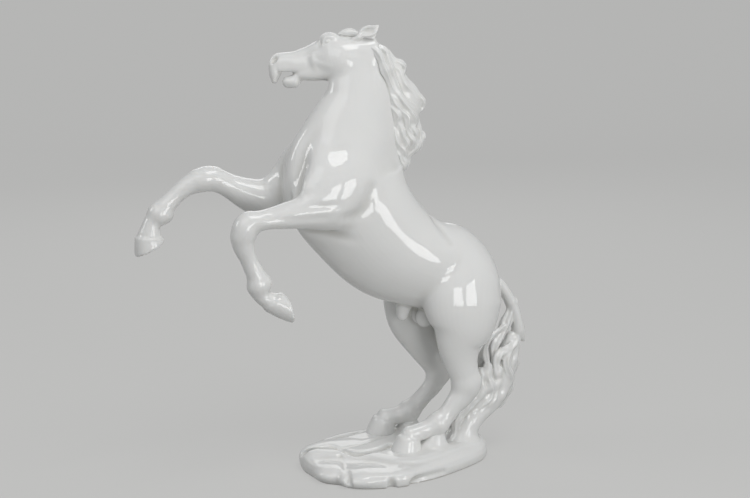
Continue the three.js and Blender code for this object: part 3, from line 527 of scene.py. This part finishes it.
def egg(centre, radii, pitch=0.0, sides=32):
    """An ellipsoid: circles of latitude, each shrunk by the cosine of its latitude and raised by the sine,
    stretched by the three radii and pitched about the Y axis."""
    latitude = np.linspace(-np.pi / 2, np.pi / 2, sides // 2)[:, None]
    longitude = np.linspace(0, 2 * np.pi, sides, endpoint=False)[None]
    ball = np.stack(np.broadcast_arrays(
        np.cos(latitude) * np.cos(longitude), np.cos(latitude) * np.sin(longitude), np.sin(latitude)), -1)
    points, quads = rings_form(ball * np.array(radii, float))
    return points @ rotation(1, pitch).T + np.array(centre, float), quads


def head_matrix():
    """The head's turn: tilt about X, then nod about Y, then yaw about Z."""
    tilt, nod, yaw = (rotation(axis, HEAD_TURN[key]) for axis, key in enumerate(("tilt", "nod", "yaw")))
    return yaw @ nod @ tilt


def on_head(form):
    """A form of the head's own frame, set on the poll."""
    points, quads = form
    return points @ head_matrix().T + POLL, quads


class Clay:
    """A block of distances to a surface on a grid, negative inside it."""

    def __init__(self, low, high, grain):
        """An empty block between two corners, in millimetres."""
        self.grain = grain
        self.start = np.floor(np.array(low) / grain).astype(int)
        stop = np.ceil(np.array(high) / grain).astype(int)
        self.field = np.full(stop - self.start, REACH, np.float32)
        self.lattice = vdb.createLinearTransform(voxelSize=grain)

    def measure(self, form, band):
        """The part of the block round a form, and the distances to the form there."""
        points, quads = form
        low = np.floor((points.min(0) - band) / self.grain).astype(int) - self.start
        high = np.ceil((points.max(0) + band) / self.grain).astype(int) - self.start + 1
        low = np.maximum(low, 0)
        high = np.minimum(high, self.field.shape)
        if (high <= low).any():
            return None, None
        grid = vdb.FloatGrid.createLevelSetFromPolygons(
            points.astype(np.float32), quads=quads.astype(np.uint32), transform=self.lattice,
            halfWidth=band / self.grain)
        found = np.empty(high - low, np.float32)
        grid.copyToArray(found, ijk=tuple(int(n) for n in low + self.start))
        return tuple(slice(a, b) for a, b in zip(low, high)), found

    def add(self, form, fillet):
        """Joins a form on: the lesser distance, lowered near the join by a cubic of the difference."""
        window, found = self.measure(form, fillet + 2 * self.grain)
        if window:
            self.field[window] = blend(self.field[window], found, fillet)

    def press(self, form, fillet):
        """Presses a form in: the greater of the distance and the form's own turned about, with a fillet."""
        window, found = self.measure(form, fillet + 2 * self.grain)
        if window:
            self.field[window] = -blend(-self.field[window], found, fillet)

    def skin(self, rounds):
        """Points and quads of the surface, with the grid's steps smoothed away."""
        grid = vdb.FloatGrid(REACH)
        grid.copyFromArray(self.field, ijk=tuple(int(n) for n in self.start))
        grid.transform = self.lattice
        grid.gridClass = vdb.GridClass.LEVEL_SET
        points, quads = grid.convertToQuads(0.0)
        quads = quads[:, ::-1]
        return relaxed(points.astype(float), quads, rounds), quads


def blend(a, b, fillet):
    """The lesser of two distances, lowered by a sixth of the fillet times the cube of how close they are."""
    close = np.maximum(fillet - np.abs(a - b), 0) / fillet
    return np.minimum(a, b) - close**3 * (fillet / 6)


def averages(points, quads):
    """For each point, the mean of the points that its edges lead to."""
    a = quads.reshape(-1)
    b = np.roll(quads, -1, axis=1).reshape(-1)
    ends = np.concatenate((a, b))
    others = np.concatenate((b, a))
    count = np.bincount(ends, minlength=len(points))
    sums = [np.bincount(ends, points[others, axis], len(points)) for axis in range(points.shape[1])]
    return np.stack(sums, -1) / np.maximum(count, 1)[:, None]


def relaxed(points, quads, rounds):
    """Points moved half way to their neighbours' mean and a little more than back again, some rounds."""
    for _ in range(rounds):
        points = points + SMOOTH_OUT * (averages(points, quads) - points)
        points = points - SMOOTH_BACK * (averages(points, quads) - points)
    return points


def normals_of(points, quads):
    """Each point's normal: the sum of the cross products of its quads' diagonals."""
    p = points[quads]
    cross = np.cross(p[:, 2] - p[:, 0], p[:, 3] - p[:, 1])
    corner = quads.reshape(-1)
    spread = np.repeat(cross, 4, axis=0)
    sums = [np.bincount(corner, spread[:, axis], len(points)) for axis in range(3)]
    return unit(np.stack(sums, -1) + NEVER_ZERO)


def hollows(points, quads, normals, rounds=24):
    """How far each point lies below a smoothed copy of its surface, in millimetres."""
    smooth = points
    for _ in range(rounds):
        smooth = averages(smooth, quads)
    return ((smooth - points) * normals).sum(-1)


def hoof(coronet, sole):
    """A hoof: egg-shaped rings that widen from the coronet to a flat sole. Both ends are given as a place,
    the heading that they face, a half width and a half depth."""
    coronet, sole = np.array(coronet, float), np.array(sole, float)
    between = coronet + HOOF_SHARES[:, None] * (sole - coronet)
    turn = np.radians(between[:, 3])
    wide = between[:, 4] * HOOF_SIZES
    deep = between[:, 5] * HOOF_SIZES
    angle = np.linspace(0, 2 * np.pi, 40, endpoint=False)
    along = np.stack((-np.cos(turn), 0 * turn, np.sin(turn)), -1)
    upward = np.cross(ACROSS, along)
    rings = (between[:, None, :3]
             + (wide[:, None] * np.sin(angle))[..., None] * ACROSS
             + (deep[:, None] * np.cos(angle))[..., None] * upward[:, None])
    return rings_form(rings)


def model_leg(clay, leg):
    """The long bones with their flesh, the joints and the hoof."""
    for bone, fillet in zip(leg["bones"], (leg["root"], *LOWER_BONE_FILLETS)):
        clay.add(tube(bone), fillet)
    for centre, radii, pitch in leg["joints"]:
        clay.add(egg(centre, radii, pitch=pitch), fillet=4)
    clay.add(hoof(leg["coronet"], leg["sole"]), fillet=1.5)


def model_shoulder(clay, at):
    """A shoulder blade that runs up to the withers, the upper arm and the breast muscle before it."""
    at = np.array(at, float)
    side = math.copysign(1, at[1])
    clay.add(egg(at, SHOULDER_RADII, pitch=-10), fillet=12)
    for muscle, fillet in ((SHOULDER_BLADE, 18), (BREAST_MUSCLE, 10)):
        clay.add(tube([(*(at + row[:3]), *row[3:]) for row in on_side(side, muscle)]), fillet)


def model_body(clay):
    """Trunk and neck, then the legs joined on."""
    clay.add(tube(SPINE, sides=64), fillet=12)
    clay.add(tube(CREST), fillet=10)
    for at in SHOULDERS:
        model_shoulder(clay, at)
    for leg in LEGS:
        model_leg(clay, leg)
    for side in (-1, 1):
        clay.add(tube(on_side(side, BUTTOCK)), fillet=10)
    for fold in FOLDS:
        clay.press(tube(roped(fold)), fillet=6)
    clay.add(tube(SHEATH), fillet=4)
    for place in (*on_side(-1, [SCROTUM]), SCROTUM):
        clay.add(egg(place, SCROTUM_RADII, pitch=8), fillet=3)


def model_face(add, press, side):
    """Cheek, brow, jawbone, lip, eye and nostril of one side."""
    def ball(place_and_radii, pitch=0.0):
        place, radii = place_and_radii
        return egg(*on_side(side, [place]), radii, pitch=pitch)

    def rope(sections, step=1.5):
        return tube(on_side(side, sections), step=step)

    lift = FAR_LIP_LIFT if side > 0 else 0.0
    lip = (LIP_CORNER, *((x, y, z + lift, *rest) for x, y, z, *rest in LIP_EDGE))
    add(ball(CHEEK), fillet=6)
    add(ball(BROW), fillet=6)
    add(rope(CHEEK_RIDGE), fillet=3.5)
    add(rope(FACE_RIDGE), fillet=4)
    add(rope(JAWBONE, step=0.8), fillet=4)
    add(rope(lip, step=0.7), fillet=3.5)
    press(ball(TEAR_HOLLOW, pitch=15), fillet=3)
    press(rope(FACE_GROOVE), fillet=2.5)
    press(rope(EYE_SOCKET, step=0.5), fillet=1)
    add(ball(EYEBALL, pitch=8), fillet=0.4)
    add(rope(UPPER_LID, step=0.5), fillet=2)
    add(rope(NOSTRIL_WING, step=0.5), fillet=1.8)
    press(rope(NOSTRIL, step=0.5), fillet=0.7)


def model_head(clay):
    """Skull, lips and jaw, both sides of the face, ears and forelock, in the head's own frame."""
    def add(form, fillet):
        clay.add(on_head(form), fillet)

    def press(form, fillet):
        clay.press(on_head(form), fillet)

    add(tube(SKULL, sides=48, step=1.0, dome=0.4), fillet=10)
    add(tube(UPPER_LIP, sides=36, step=0.7, dome=0.8), fillet=2)
    add(tube(JAW, sides=36, step=1.0, dome=0.6), fillet=2)
    add(egg(*CHIN), fillet=1.5)
    add(egg(*CHIN_PAD), fillet=1.5)
    for side in (-1, 1):
        model_face(add, press, side)
    press(tube(JAW_GROOVE, step=0.8), fillet=1.5)
    for side, shift in ((-1, 0.0), (1, FAR_EAR_SHIFT)):
        ear, bowl = ([(x + shift, *rest) for x, *rest in sections] for sections in (EAR, EAR_BOWL))
        add(tube(on_side(side, (EAR_ROOT, *ear)), step=0.5), fillet=1.6)
        press(tube(on_side(side, bowl), step=0.5), fillet=0.7)
    for across, wide in FORELOCK_STRANDS:
        strand = [(x, across * y, z, wide * w, deep) for x, y, z, w, deep in FORELOCK_ROWS]
        add(tube(strand, step=0.6), fillet=0.8)


def model_horse(clay):
    """The whole horse but its mane and tail, so that head and body are cut from one surface."""
    model_body(clay)
    model_head(clay)


def lock(row):
    """A lock of hair: a round section that swells from the root to the peak, thins to the tip and is pinched
    at every second place that it passes through."""
    radius, *places = row
    share = np.linspace(0, 1, len(places))
    swelling = LOCK_ROOT + LOCK_GAIN * share
    thinning = 1.0 - LOCK_LOSS * (share - LOCK_PEAK)
    thick = radius * np.where(share < LOCK_PEAK, swelling, thinning)
    thick *= 1 + LOCK_WAVE * np.cos(np.pi * np.arange(len(places)))
    return tube(np.column_stack((np.array(places, float), thick, thick)), sides=36, step=0.8, strands=5)


def far_lock(row, k, lean=0.0):
    """The lock that answers one of the near side on the far side, set off a little so that they differ. The
    middle between the two sides lies at the height times the lean, less what the lean gives at the top."""
    radius, *places = row
    there = np.array(places, float)
    there[:, 1] = 2 * lean * np.minimum(there[:, 2] - LEAN_TOP, 0) - FAR_REACH * there[:, 1]
    there += (FAR_SHIFT[0] * math.sin(FAR_TURN * k), 0, FAR_SHIFT[1] * math.cos(FAR_TURN * k))
    return lock((radius, *there))


def model_mane(clay):
    """Locks laid over a core on both sides of the crest."""
    clay.add(tube(MANE_CORE), fillet=2)
    clay.add(tube(MANE_ROOTS), fillet=4)
    for k, row in enumerate(MANE_LOCKS):
        clay.add(lock(row), fillet=1.8)
        clay.add(far_lock(row, k), fillet=1.8)


def model_tail(clay):
    """The band, the brush that sweeps down to the ledge, and the locks laid over it on both sides."""
    clay.add(tube(TAIL_BAND), fillet=2)
    clay.add(tube(TAIL_CORE), fillet=2)
    for k, row in enumerate(TAIL_LOCKS):
        clay.add(lock(row), fillet=1.6)
        if k in TAIL_FAR_LOCKS:
            clay.add(far_lock(row, k, TAIL_LEAN), fillet=1.6)
    for knob in TAIL_KNOBS:
        clay.add(egg(knob, KNOB_RADII, pitch=KNOB_TILT), fillet=3)


def outline(plan, spans=10):
    """A closed curve through plan points: between two of them the cubic whose slope at each end is half the
    chord between the points on either side."""
    p = np.array(plan, float)
    before, after, beyond = (np.roll(p, shift, 0) for shift in (1, -1, -2))
    t = np.linspace(0, 1, spans, endpoint=False)[:, None, None]
    curve = p + 0.5 * t * (after - before) + t**2 * (before - 2.5 * p + 2 * after - 0.5 * beyond)
    curve = curve + 0.5 * t**3 * (3 * p - before - 3 * after + beyond)
    return curve.swapaxes(0, 1).reshape(-1, 2)


def slab(plan, levels):
    """A slab under a plan outline: at each level the outline is drawn in by an inset along its normal and set
    at a height, and both ends are closed in the middle."""
    line = outline(plan)
    along = unit(np.roll(line, -1, 0) - np.roll(line, 1, 0))
    inward = np.stack((-along[:, 1], along[:, 0]), -1)
    middle = np.broadcast_to(line.mean(0), line.shape)
    walls = [(line + inset * inward, z) for inset, z in levels]
    rings = [(middle, levels[0][1]), *walls, (middle, levels[-1][1])]
    return rings_form(np.stack([np.column_stack((ring, np.full(len(line), z))) for ring, z in rings]))


def model_plinth(clay):
    """A low rock shelf and the ledge on it, with lumps and creases, hollow underneath."""
    base = -LEDGE_TOP
    for plan, top in ((SHELF_PLAN, SHELF_TOP), (LEDGE_PLAN, LEDGE_TOP)):
        foot = [(inset, base + rise) for inset, rise in FOOT_CURVE]
        bent = EDGE_ROUND * EDGE_CURVE
        clay.add(slab(plan, (
            (FOOT_INSET, base), *foot, (0, base + top - EDGE_ROUND), (bent, base + top - bent),
            (EDGE_ROUND, base + top))), fillet=12)
    for centre, radii in ROCK_LUMPS:
        clay.add(egg(centre, radii), fillet=5)
    for prop in ROCK_PROPS:
        clay.add(tube(prop), fillet=7)
    for crease in ROCK_CREASES:
        clay.press(tube(roped(crease)), fillet=3)
    inset = PLINTH_WALL + FOOT_INSET
    hollow = ((inset, base - HOLLOW_START), (inset, base + SHELF_TOP - PLINTH_WALL))
    clay.press(slab(SHELF_PLAN, hollow), fillet=1)


def pick(sockets, key):
    """A socket by its number or by its identifier."""
    return sockets[key] if isinstance(key, int) else next(s for s in sockets if s.identifier == key)


class Wire:
    """A socket that takes part in Python expressions: each operator adds a Math node."""

    def __init__(self, tree, socket=None):
        """A socket of a node tree, or the tree alone to add nodes to."""
        self.tree = tree
        self.socket = socket

    def node(self, kind, settings=None, sockets=None, output=0):
        """Adds a node, sets its settings, fills or links its sockets, and gives one of its outputs."""
        made = self.tree.nodes.new(kind)
        for name, value in (settings or {}).items():
            setattr(made, name, value)
        for name, value in (sockets or {}).items():
            socket = pick(made.inputs, name)
            if isinstance(value, Wire):
                self.tree.links.new(value.socket, socket)
            else:
                socket.default_value = value
        return Wire(self.tree, pick(made.outputs, output) if made.outputs else None)

    def math(self, operation, first, second=0.0):
        """Adds a Math node."""
        return self.node("ShaderNodeMath", {"operation": operation}, {0: first, 1: second})

    def __add__(self, other):
        """The sum."""
        return self.math("ADD", self, other)

    def __sub__(self, other):
        """The difference."""
        return self.math("SUBTRACT", self, other)

    def __rsub__(self, other):
        """The difference from a number."""
        return self.math("SUBTRACT", other, self)

    def __mul__(self, other):
        """The product."""
        return self.math("MULTIPLY", self, other)

    def clamp(self):
        """The value kept between 0 and 1."""
        return self.node("ShaderNodeClamp", None, {"Value": self})

    __radd__ = __add__
    __rmul__ = __mul__


def glaze_material(settings):
    """White porcelain glaze: a soft body under a clear coat, a little darker and warmer in hollows, partly
    pooled glaze and partly painted shade.
    """
    material = bpy.data.materials.new("porcelain_glaze")
    material.use_nodes = True
    tree = material.node_tree
    tree.nodes.clear()
    wire = Wire(tree)
    place = wire.node("ShaderNodeTexCoord", output="Object")
    hollow = wire.node("ShaderNodeAttribute", {"attribute_name": "hollow"}, output="Fac")
    cloud = wire.node("ShaderNodeTexNoise", None, {"Vector": place, "Scale": CLOUD_SCALE, "Detail": 3.0})
    ripple = wire.node("ShaderNodeTexNoise", None, {"Vector": place, "Scale": RIPPLE_SCALE, "Detail": 2.0})
    height = wire.node("ShaderNodeSeparateXYZ", None, {"Vector": place}, output="Z")
    bare = ((settings.rim_height - height) * RIM_SHARPNESS).clamp()
    # Painted shade and pooled glaze: the deeper a point lies in a hollow, the more of the darker colour it
    # takes; the clouds add random tone
    pooled_and_shaded = (hollow * POOL_AND_SHADE_SHARE + (cloud - 0.5) * CLOUD_SHARE).clamp()
    glazed = wire.node("ShaderNodeMix", {"data_type": "RGBA"}, {
        "Factor_Float": pooled_and_shaded, "A_Color": (*settings.colour, 1), "B_Color": (*settings.pool_and_shade_colour, 1)},
        output="Result_Color")
    colour = wire.node("ShaderNodeMix", {"data_type": "RGBA"}, {
        "Factor_Float": bare, "A_Color": glazed, "B_Color": (*settings.biscuit_colour, 1)},
        output="Result_Color")
    bump = wire.node("ShaderNodeBump", None, {
        "Height": ripple, "Strength": RIPPLE_STRENGTH, "Distance": RIPPLE_DEPTH})
    shader = wire.node("ShaderNodeBsdfPrincipled", None, {
        "Base Color": colour, "Roughness": BODY_ROUGHNESS + cloud * CLOUD_ROUGHNESS + bare * BARE_ROUGHNESS,
        "Normal": bump, "Coat Weight": 1.0 - bare, "Coat Roughness": settings.coat_roughness,
        "IOR": GLASS_IOR, "Specular IOR Level": 0.0, "Subsurface Weight": BODY_GLOW,
        "Subsurface Radius": GLOW_REACH, "Subsurface Scale": 1.0})
    wire.node("ShaderNodeOutputMaterial", None, {"Surface": shader})
    return material


def cut_open(mesh, at, along):
    """Takes away what lies ahead of a plane, given by a point and a normal, and closes the hole. What lies
    further below the point than the cut reaches stays."""
    shape = bmesh.new()
    shape.from_mesh(mesh)
    low = (at[2] - CUT_DEPTH + ROW_SHIFT[2]) * MM
    near = [face for face in shape.faces if min(v.co.z for v in face.verts) > low]
    corners = dict.fromkeys(v for face in near for v in face.verts)
    edges = dict.fromkeys(e for face in near for e in face.edges)
    found = bmesh.ops.bisect_plane(
        shape, geom=[*near, *corners, *edges], dist=CUT_MERGE,
        plane_co=Vector((at + ROW_SHIFT) * MM), plane_no=Vector(along), clear_outer=True)
    rim = [item for item in found["geom_cut"] if isinstance(item, bmesh.types.BMEdge)]
    bmesh.ops.edgeloop_fill(shape, edges=rim)
    shape.to_mesh(mesh)
    shape.free()


def fired(name, points, quads, material, nodes, cut=None):
    """Puts a surface into a mesh object in the row's frame, glazed, riding on the part and standing for its
    nodes. A cut is a plane's point and normal."""
    normals = normals_of(points, quads)
    # Depth in hollows, which darkens the glaze there: painted shade in creases as well as pooled glaze
    depth = np.clip(hollows(points, quads, normals), -1, 1)
    mesh = bpy.data.meshes.new(name)
    mesh.from_pydata(((points + ROW_SHIFT) * MM).tolist(), [], quads.tolist())
    hollow = mesh.attributes.new("hollow", "FLOAT", "POINT")
    hollow.data.foreach_set("value", depth.astype(np.float32))
    flow = mesh.attributes.new("flow", "FLOAT_VECTOR", "POINT")
    flow.data.foreach_set("vector", normals.astype(np.float32).ravel())
    if cut is not None:
        cut_open(mesh, *cut)
    mesh.polygons.foreach_set("use_smooth", np.ones(len(mesh.polygons), bool))
    kept = np.empty(len(mesh.vertices) * 3, np.float32)
    mesh.attributes["flow"].data.foreach_get("vector", kept)
    mesh.normals_split_custom_set_from_vertices(unit(kept.reshape(-1, 3)).tolist())
    mesh.attributes.remove(mesh.attributes["flow"])
    mesh.materials.append(material)
    piece = bpy.data.objects.new(name, mesh)
    bpy.context.scene.collection.objects.link(piece)
    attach(piece, "root")
    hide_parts(*nodes)
    return piece


def tone(name, description, default):
    """A colour setting."""
    return FloatVectorProperty(
        name=name, description=description, subtype="COLOR", size=3, default=default, min=0, max=1)


def power(name, lamp, default):
    """A setting for the power of a lamp."""
    return FloatProperty(name=name, description=f"Power of {lamp}", default=default, min=0, unit="POWER")


class GlazeSettings(bpy.types.PropertyGroup):
    """Colours and gloss of the glaze"""
    colour: tone("Glaze", "Colour of the glaze where it lies thin", (0.80, 0.80, 0.785))
    # Darker colour in grooves and creases: partly pooled glaze, partly painted shade
    pool_and_shade_colour: tone("Pooled glaze", "Colour of the glaze where it pools in grooves", (0.52, 0.51, 0.46))
    biscuit_colour: tone("Biscuit", "Colour of the bare rim that the plinth stands on", (0.62, 0.60, 0.55))
    rim_height: FloatProperty(
        name="Bare rim", description="Height up to which the foot is left unglazed", default=0.0012, min=0,
        unit="LENGTH")
    coat_roughness: FloatProperty(
        name="Gloss", description="Roughness of the clear coat", default=0.02, min=0, max=1)


class ModelSettings(bpy.types.PropertyGroup):
    """How finely the surfaces are modelled"""
    body_grain: FloatProperty(
        name="Body grain", description="Grid step of the body's surface, in millimetres",
        default=1.15, min=0.5)
    fine_grain: FloatProperty(
        name="Fine grain", description="Grid step of head, mane and tail, in millimetres",
        default=0.55, min=0.3)


class StageSettings(bpy.types.PropertyGroup):
    """Paper, lights and air of the stage"""
    floor_colour: tone("Floor", "Colour of the paper that the figure stands on", (0.36, 0.36, 0.35))
    backdrop_colour: tone("Backdrop", "Pale tone that the paper shows to the camera", (0.76, 0.76, 0.75))
    paper_glow: FloatProperty(
        name="Paper glow", description="Share of the backdrop's tone in what the paper shows to the camera",
        default=0.55, min=0, max=1, subtype="FACTOR")
    window_power: power("Window", "each pane of the window on the right", 1.85)
    face_power: power("Face light", "the softbox above the face", 1.2)
    side_power: power("Side light", "the softbox on the left", 2.0)
    top_power: power("Top light", "the softbox overhead", 2.8)
    back_power: power("Back light", "the softbox behind the figure", 2.6)
    front_power: power("Front light", "the wide softbox behind the camera", 1.1)
    air_colour: tone("Air colour", "Colour of the even light from all round", (0.8, 0.82, 0.85))
    air_strength: FloatProperty(
        name="Air", description="Strength of the even light from all round", default=0.29, min=0)


def glaze():
    """The glaze, made when it is first asked for."""
    made = bpy.data.materials.get("porcelain_glaze")
    return made or glaze_material(bpy.context.scene.figure_glaze)


class FIGURE_OT_plinth(bpy.types.Operator):
    """Models the rock plinth"""
    bl_idname = "figure.plinth"
    bl_label = "Rock plinth"

    def execute(self, context):
        clay = Clay(*PLINTH_BLOCK, PLINTH_GRAIN)
        model_plinth(clay)
        points, quads = clay.skin(PLINTH_ROUNDS)
        points[:, 2] = np.maximum(points[:, 2], -LEDGE_TOP)
        fired("rock_plinth", points, quads, glaze(), ["plinth"])
        return {"FINISHED"}


class FIGURE_OT_body(bpy.types.Operator):
    """Models the body, neck and legs as one surface"""
    bl_idname = "figure.body"
    bl_label = "Body and legs"

    def execute(self, context):
        clay = Clay(*BODY_BLOCK, context.scene.figure_model.body_grain)
        model_horse(clay)
        fired("stallion_body", *clay.skin(BODY_ROUNDS), glaze(), [
            "trunk", "neck", "foreleg_left", "foreleg_right", "hind_leg_left", "hind_leg_right", "sheath",
            "scrotum"], cut=(THROAT, heading(THROAT_HEADING)))
        return {"FINISHED"}


class FIGURE_OT_head(bpy.types.Operator):
    """Models the head"""
    bl_idname = "figure.head"
    bl_label = "Head"

    def execute(self, context):
        clay = Clay(*HEAD_BLOCK, context.scene.figure_model.fine_grain)
        model_horse(clay)
        fired("stallion_head", *clay.skin(HEAD_ROUNDS), glaze(), [
            "head", "lower_jaw", "ear_left", "ear_right", "forelock"], cut=(THROAT, -heading(THROAT_HEADING)))
        return {"FINISHED"}


class FIGURE_OT_mane(bpy.types.Operator):
    """Models the mane"""
    bl_idname = "figure.mane"
    bl_label = "Mane"

    def execute(self, context):
        clay = Clay(*MANE_BLOCK, context.scene.figure_model.fine_grain)
        model_mane(clay)
        fired("stallion_mane", *clay.skin(HAIR_ROUNDS), glaze(), ["mane_crest", "mane_middle", "mane_lower"])
        return {"FINISHED"}


class FIGURE_OT_tail(bpy.types.Operator):
    """Models the tail"""
    bl_idname = "figure.tail"
    bl_label = "Tail"

    def execute(self, context):
        clay = Clay(*TAIL_BLOCK, context.scene.figure_model.fine_grain)
        model_tail(clay)
        fired("stallion_tail", *clay.skin(HAIR_ROUNDS), glaze(), [
            "tail_dock", "tail_switch", "tail_lock", "tail_strand"])
        return {"FINISHED"}


def direction(azimuth, elevation):
    """The direction from the figure to a viewer at an azimuth from the left side and at an elevation."""
    a, e = math.radians(azimuth), math.radians(elevation)
    return np.array((math.sin(a) * math.cos(e), -math.cos(a) * math.cos(e), math.sin(e)))


def aimed(name, data, place, at):
    """An object at a place in the modelling frame, turned to look at another."""
    made = bpy.data.objects.new(name, data)
    bpy.context.scene.collection.objects.link(made)
    start = Vector((np.array(place) + ROW_SHIFT) * MM)
    end = Vector((np.array(at) + ROW_SHIFT) * MM)
    made.location = start
    made.rotation_euler = (end - start).to_track_quat("-Z", "Y").to_euler()
    return made


def softbox(name, azimuth, elevation, distance, size, power):
    """An area light that looks at the middle of the figure."""
    lamp = bpy.data.lights.new(name, "AREA")
    lamp.shape = "RECTANGLE"
    lamp.size, lamp.size_y = size
    lamp.energy = power
    return aimed(name, lamp, AIM + distance * direction(azimuth, elevation), AIM)


def seen_rays(wire):
    """One for the rays that show a surface to the camera, straight or by way of gloss or glass."""
    kinds = ("Camera", "Glossy", "Transmission")
    camera, glossy, glass = (wire.node("ShaderNodeLightPath", output=f"Is {kind} Ray") for kind in kinds)
    return (camera + glossy + glass).clamp()


def paper_material(settings):
    """Paper that glows a little in its pale tone for the rays that show it."""
    material = bpy.data.materials.new("studio_paper")
    material.use_nodes = True
    material.node_tree.nodes.clear()
    wire = Wire(material.node_tree)
    paper = wire.node("ShaderNodeBsdfDiffuse", None, {"Color": (*settings.floor_colour, 1)}, output="BSDF")
    pale = wire.node(
        "ShaderNodeEmission", None, {"Color": (*settings.backdrop_colour, 1)}, output="Emission")
    mixed = wire.node("ShaderNodeMixShader", None, {
        "Fac": seen_rays(wire) * settings.paper_glow, 1: paper, 2: pale})
    wire.node("ShaderNodeOutputMaterial", None, {"Surface": mixed})
    return material


def studio_sweep(settings):
    """A roll of paper: flat to the front, then a quarter circle up, whose run follows the sine and whose rise
    follows one less the cosine, and then upright."""
    across = np.linspace(-SWEEP_HALF, SWEEP_HALF, FLOOR_ROWS)
    bend = np.linspace(0, np.pi / 2, BEND_ROWS)[1:]
    run = np.concatenate((
        np.linspace(-SWEEP_HALF, SWEEP_BACK, FLOOR_ROWS), SWEEP_BACK + SWEEP_BEND * np.sin(bend),
        np.full(WALL_ROWS, SWEEP_BACK + SWEEP_BEND)))
    rise = np.concatenate((
        np.zeros(FLOOR_ROWS), SWEEP_BEND - SWEEP_BEND * np.cos(bend),
        np.linspace(WALL_START, WALL_TOP, WALL_ROWS)))
    points = np.stack(np.broadcast_arrays(across[:, None], run[None], rise[None]), -1)
    i, j = np.meshgrid(np.arange(len(across) - 1), np.arange(len(run) - 1), indexing="ij")
    a = (i * len(run) + j).ravel()
    quads = np.stack((a, a + len(run), a + len(run) + 1, a + 1), -1)
    mesh = bpy.data.meshes.new("studio_sweep")
    mesh.from_pydata(points.reshape(-1, 3).tolist(), [], quads.tolist())
    mesh.polygons.foreach_set("use_smooth", np.ones(len(mesh.polygons), bool))
    mesh.materials.append(paper_material(settings))
    sweep = bpy.data.objects.new("studio_sweep", mesh)
    bpy.context.scene.collection.objects.link(sweep)
    return sweep


def studio_air(settings):
    """Even light from all round, which shows as the pale backdrop where it is seen."""
    world = bpy.data.worlds.new("studio_air")
    world.use_nodes = True
    world.node_tree.nodes.clear()
    sky = Wire(world.node_tree)
    air = sky.node("ShaderNodeBackground", None, {
        "Color": (*settings.air_colour, 1), "Strength": settings.air_strength}, output="Background")
    wall = sky.node("ShaderNodeBackground", None, {
        "Color": (*settings.backdrop_colour, 1), "Strength": WALL_STRENGTH}, output="Background")
    both = sky.node("ShaderNodeMixShader", None, {"Fac": seen_rays(sky), 1: air, 2: wall})
    sky.node("ShaderNodeOutputWorld", None, {"Surface": both})
    return world


def view_camera():
    """A camera that looks at the middle of the figure."""
    lens = bpy.data.cameras.new("view_camera")
    lens.lens = LENS
    lens.sensor_width = SENSOR_WIDTH
    lens.sensor_fit = "HORIZONTAL"
    lens.dof.use_dof = False
    place = AIM + VIEW_DISTANCE * direction(VIEW_AZIMUTH, VIEW_ELEVATION)
    return aimed("view_camera", lens, place, AIM)


class FIGURE_OT_stage(bpy.types.Operator):
    """Builds the floor, the lights and the camera"""
    bl_idname = "figure.stage"
    bl_label = "Stage"

    def execute(self, context):
        settings = context.scene.figure_stage
        studio_sweep(settings)
        for name, (*place, power) in SOFTBOXES.items():
            softbox(name, *place, getattr(settings, power))
        context.scene.world = studio_air(settings)
        context.scene.camera = view_camera()
        context.scene.view_settings.view_transform = "Standard"
        return {"FINISHED"}


PIECES = (
    FIGURE_OT_plinth, FIGURE_OT_body, FIGURE_OT_head, FIGURE_OT_mane, FIGURE_OT_tail, FIGURE_OT_stage)


class FIGURE_PT_panel(bpy.types.Panel):
    """Lists the figure's pieces and settings"""
    bl_idname = "FIGURE_PT_panel"
    bl_label = "Porcelain stallion"
    bl_space_type = "VIEW_3D"
    bl_region_type = "UI"
    bl_category = "Figure"

    def draw(self, context):
        """Draws the panel."""
        scene = context.scene
        for settings in (scene.figure_model, scene.figure_glaze, scene.figure_stage):
            for name in settings.__annotations__:
                self.layout.prop(settings, name)
        for piece in PIECES:
            self.layout.operator(piece.bl_idname)


CLASSES = (ModelSettings, GlazeSettings, StageSettings, *PIECES, FIGURE_PT_panel)


def register():
    """Makes the classes known and hangs the settings on the scene."""
    for item in CLASSES:
        bpy.utils.register_class(item)
    bpy.types.Scene.figure_model = PointerProperty(type=ModelSettings)
    bpy.types.Scene.figure_glaze = PointerProperty(type=GlazeSettings)
    bpy.types.Scene.figure_stage = PointerProperty(type=StageSettings)


def unregister():
    """Undoes register()."""
    del bpy.types.Scene.figure_model
    del bpy.types.Scene.figure_glaze
    del bpy.types.Scene.figure_stage
    for item in reversed(CLASSES):
        bpy.utils.unregister_class(item)


def main():
    """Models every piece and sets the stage."""
    register()
    bpy.ops.figure.plinth()
    bpy.ops.figure.body()
    bpy.ops.figure.head()
    bpy.ops.figure.mane()
    bpy.ops.figure.tail()
    bpy.ops.figure.stage()


if __name__ == "__main__":
    main()
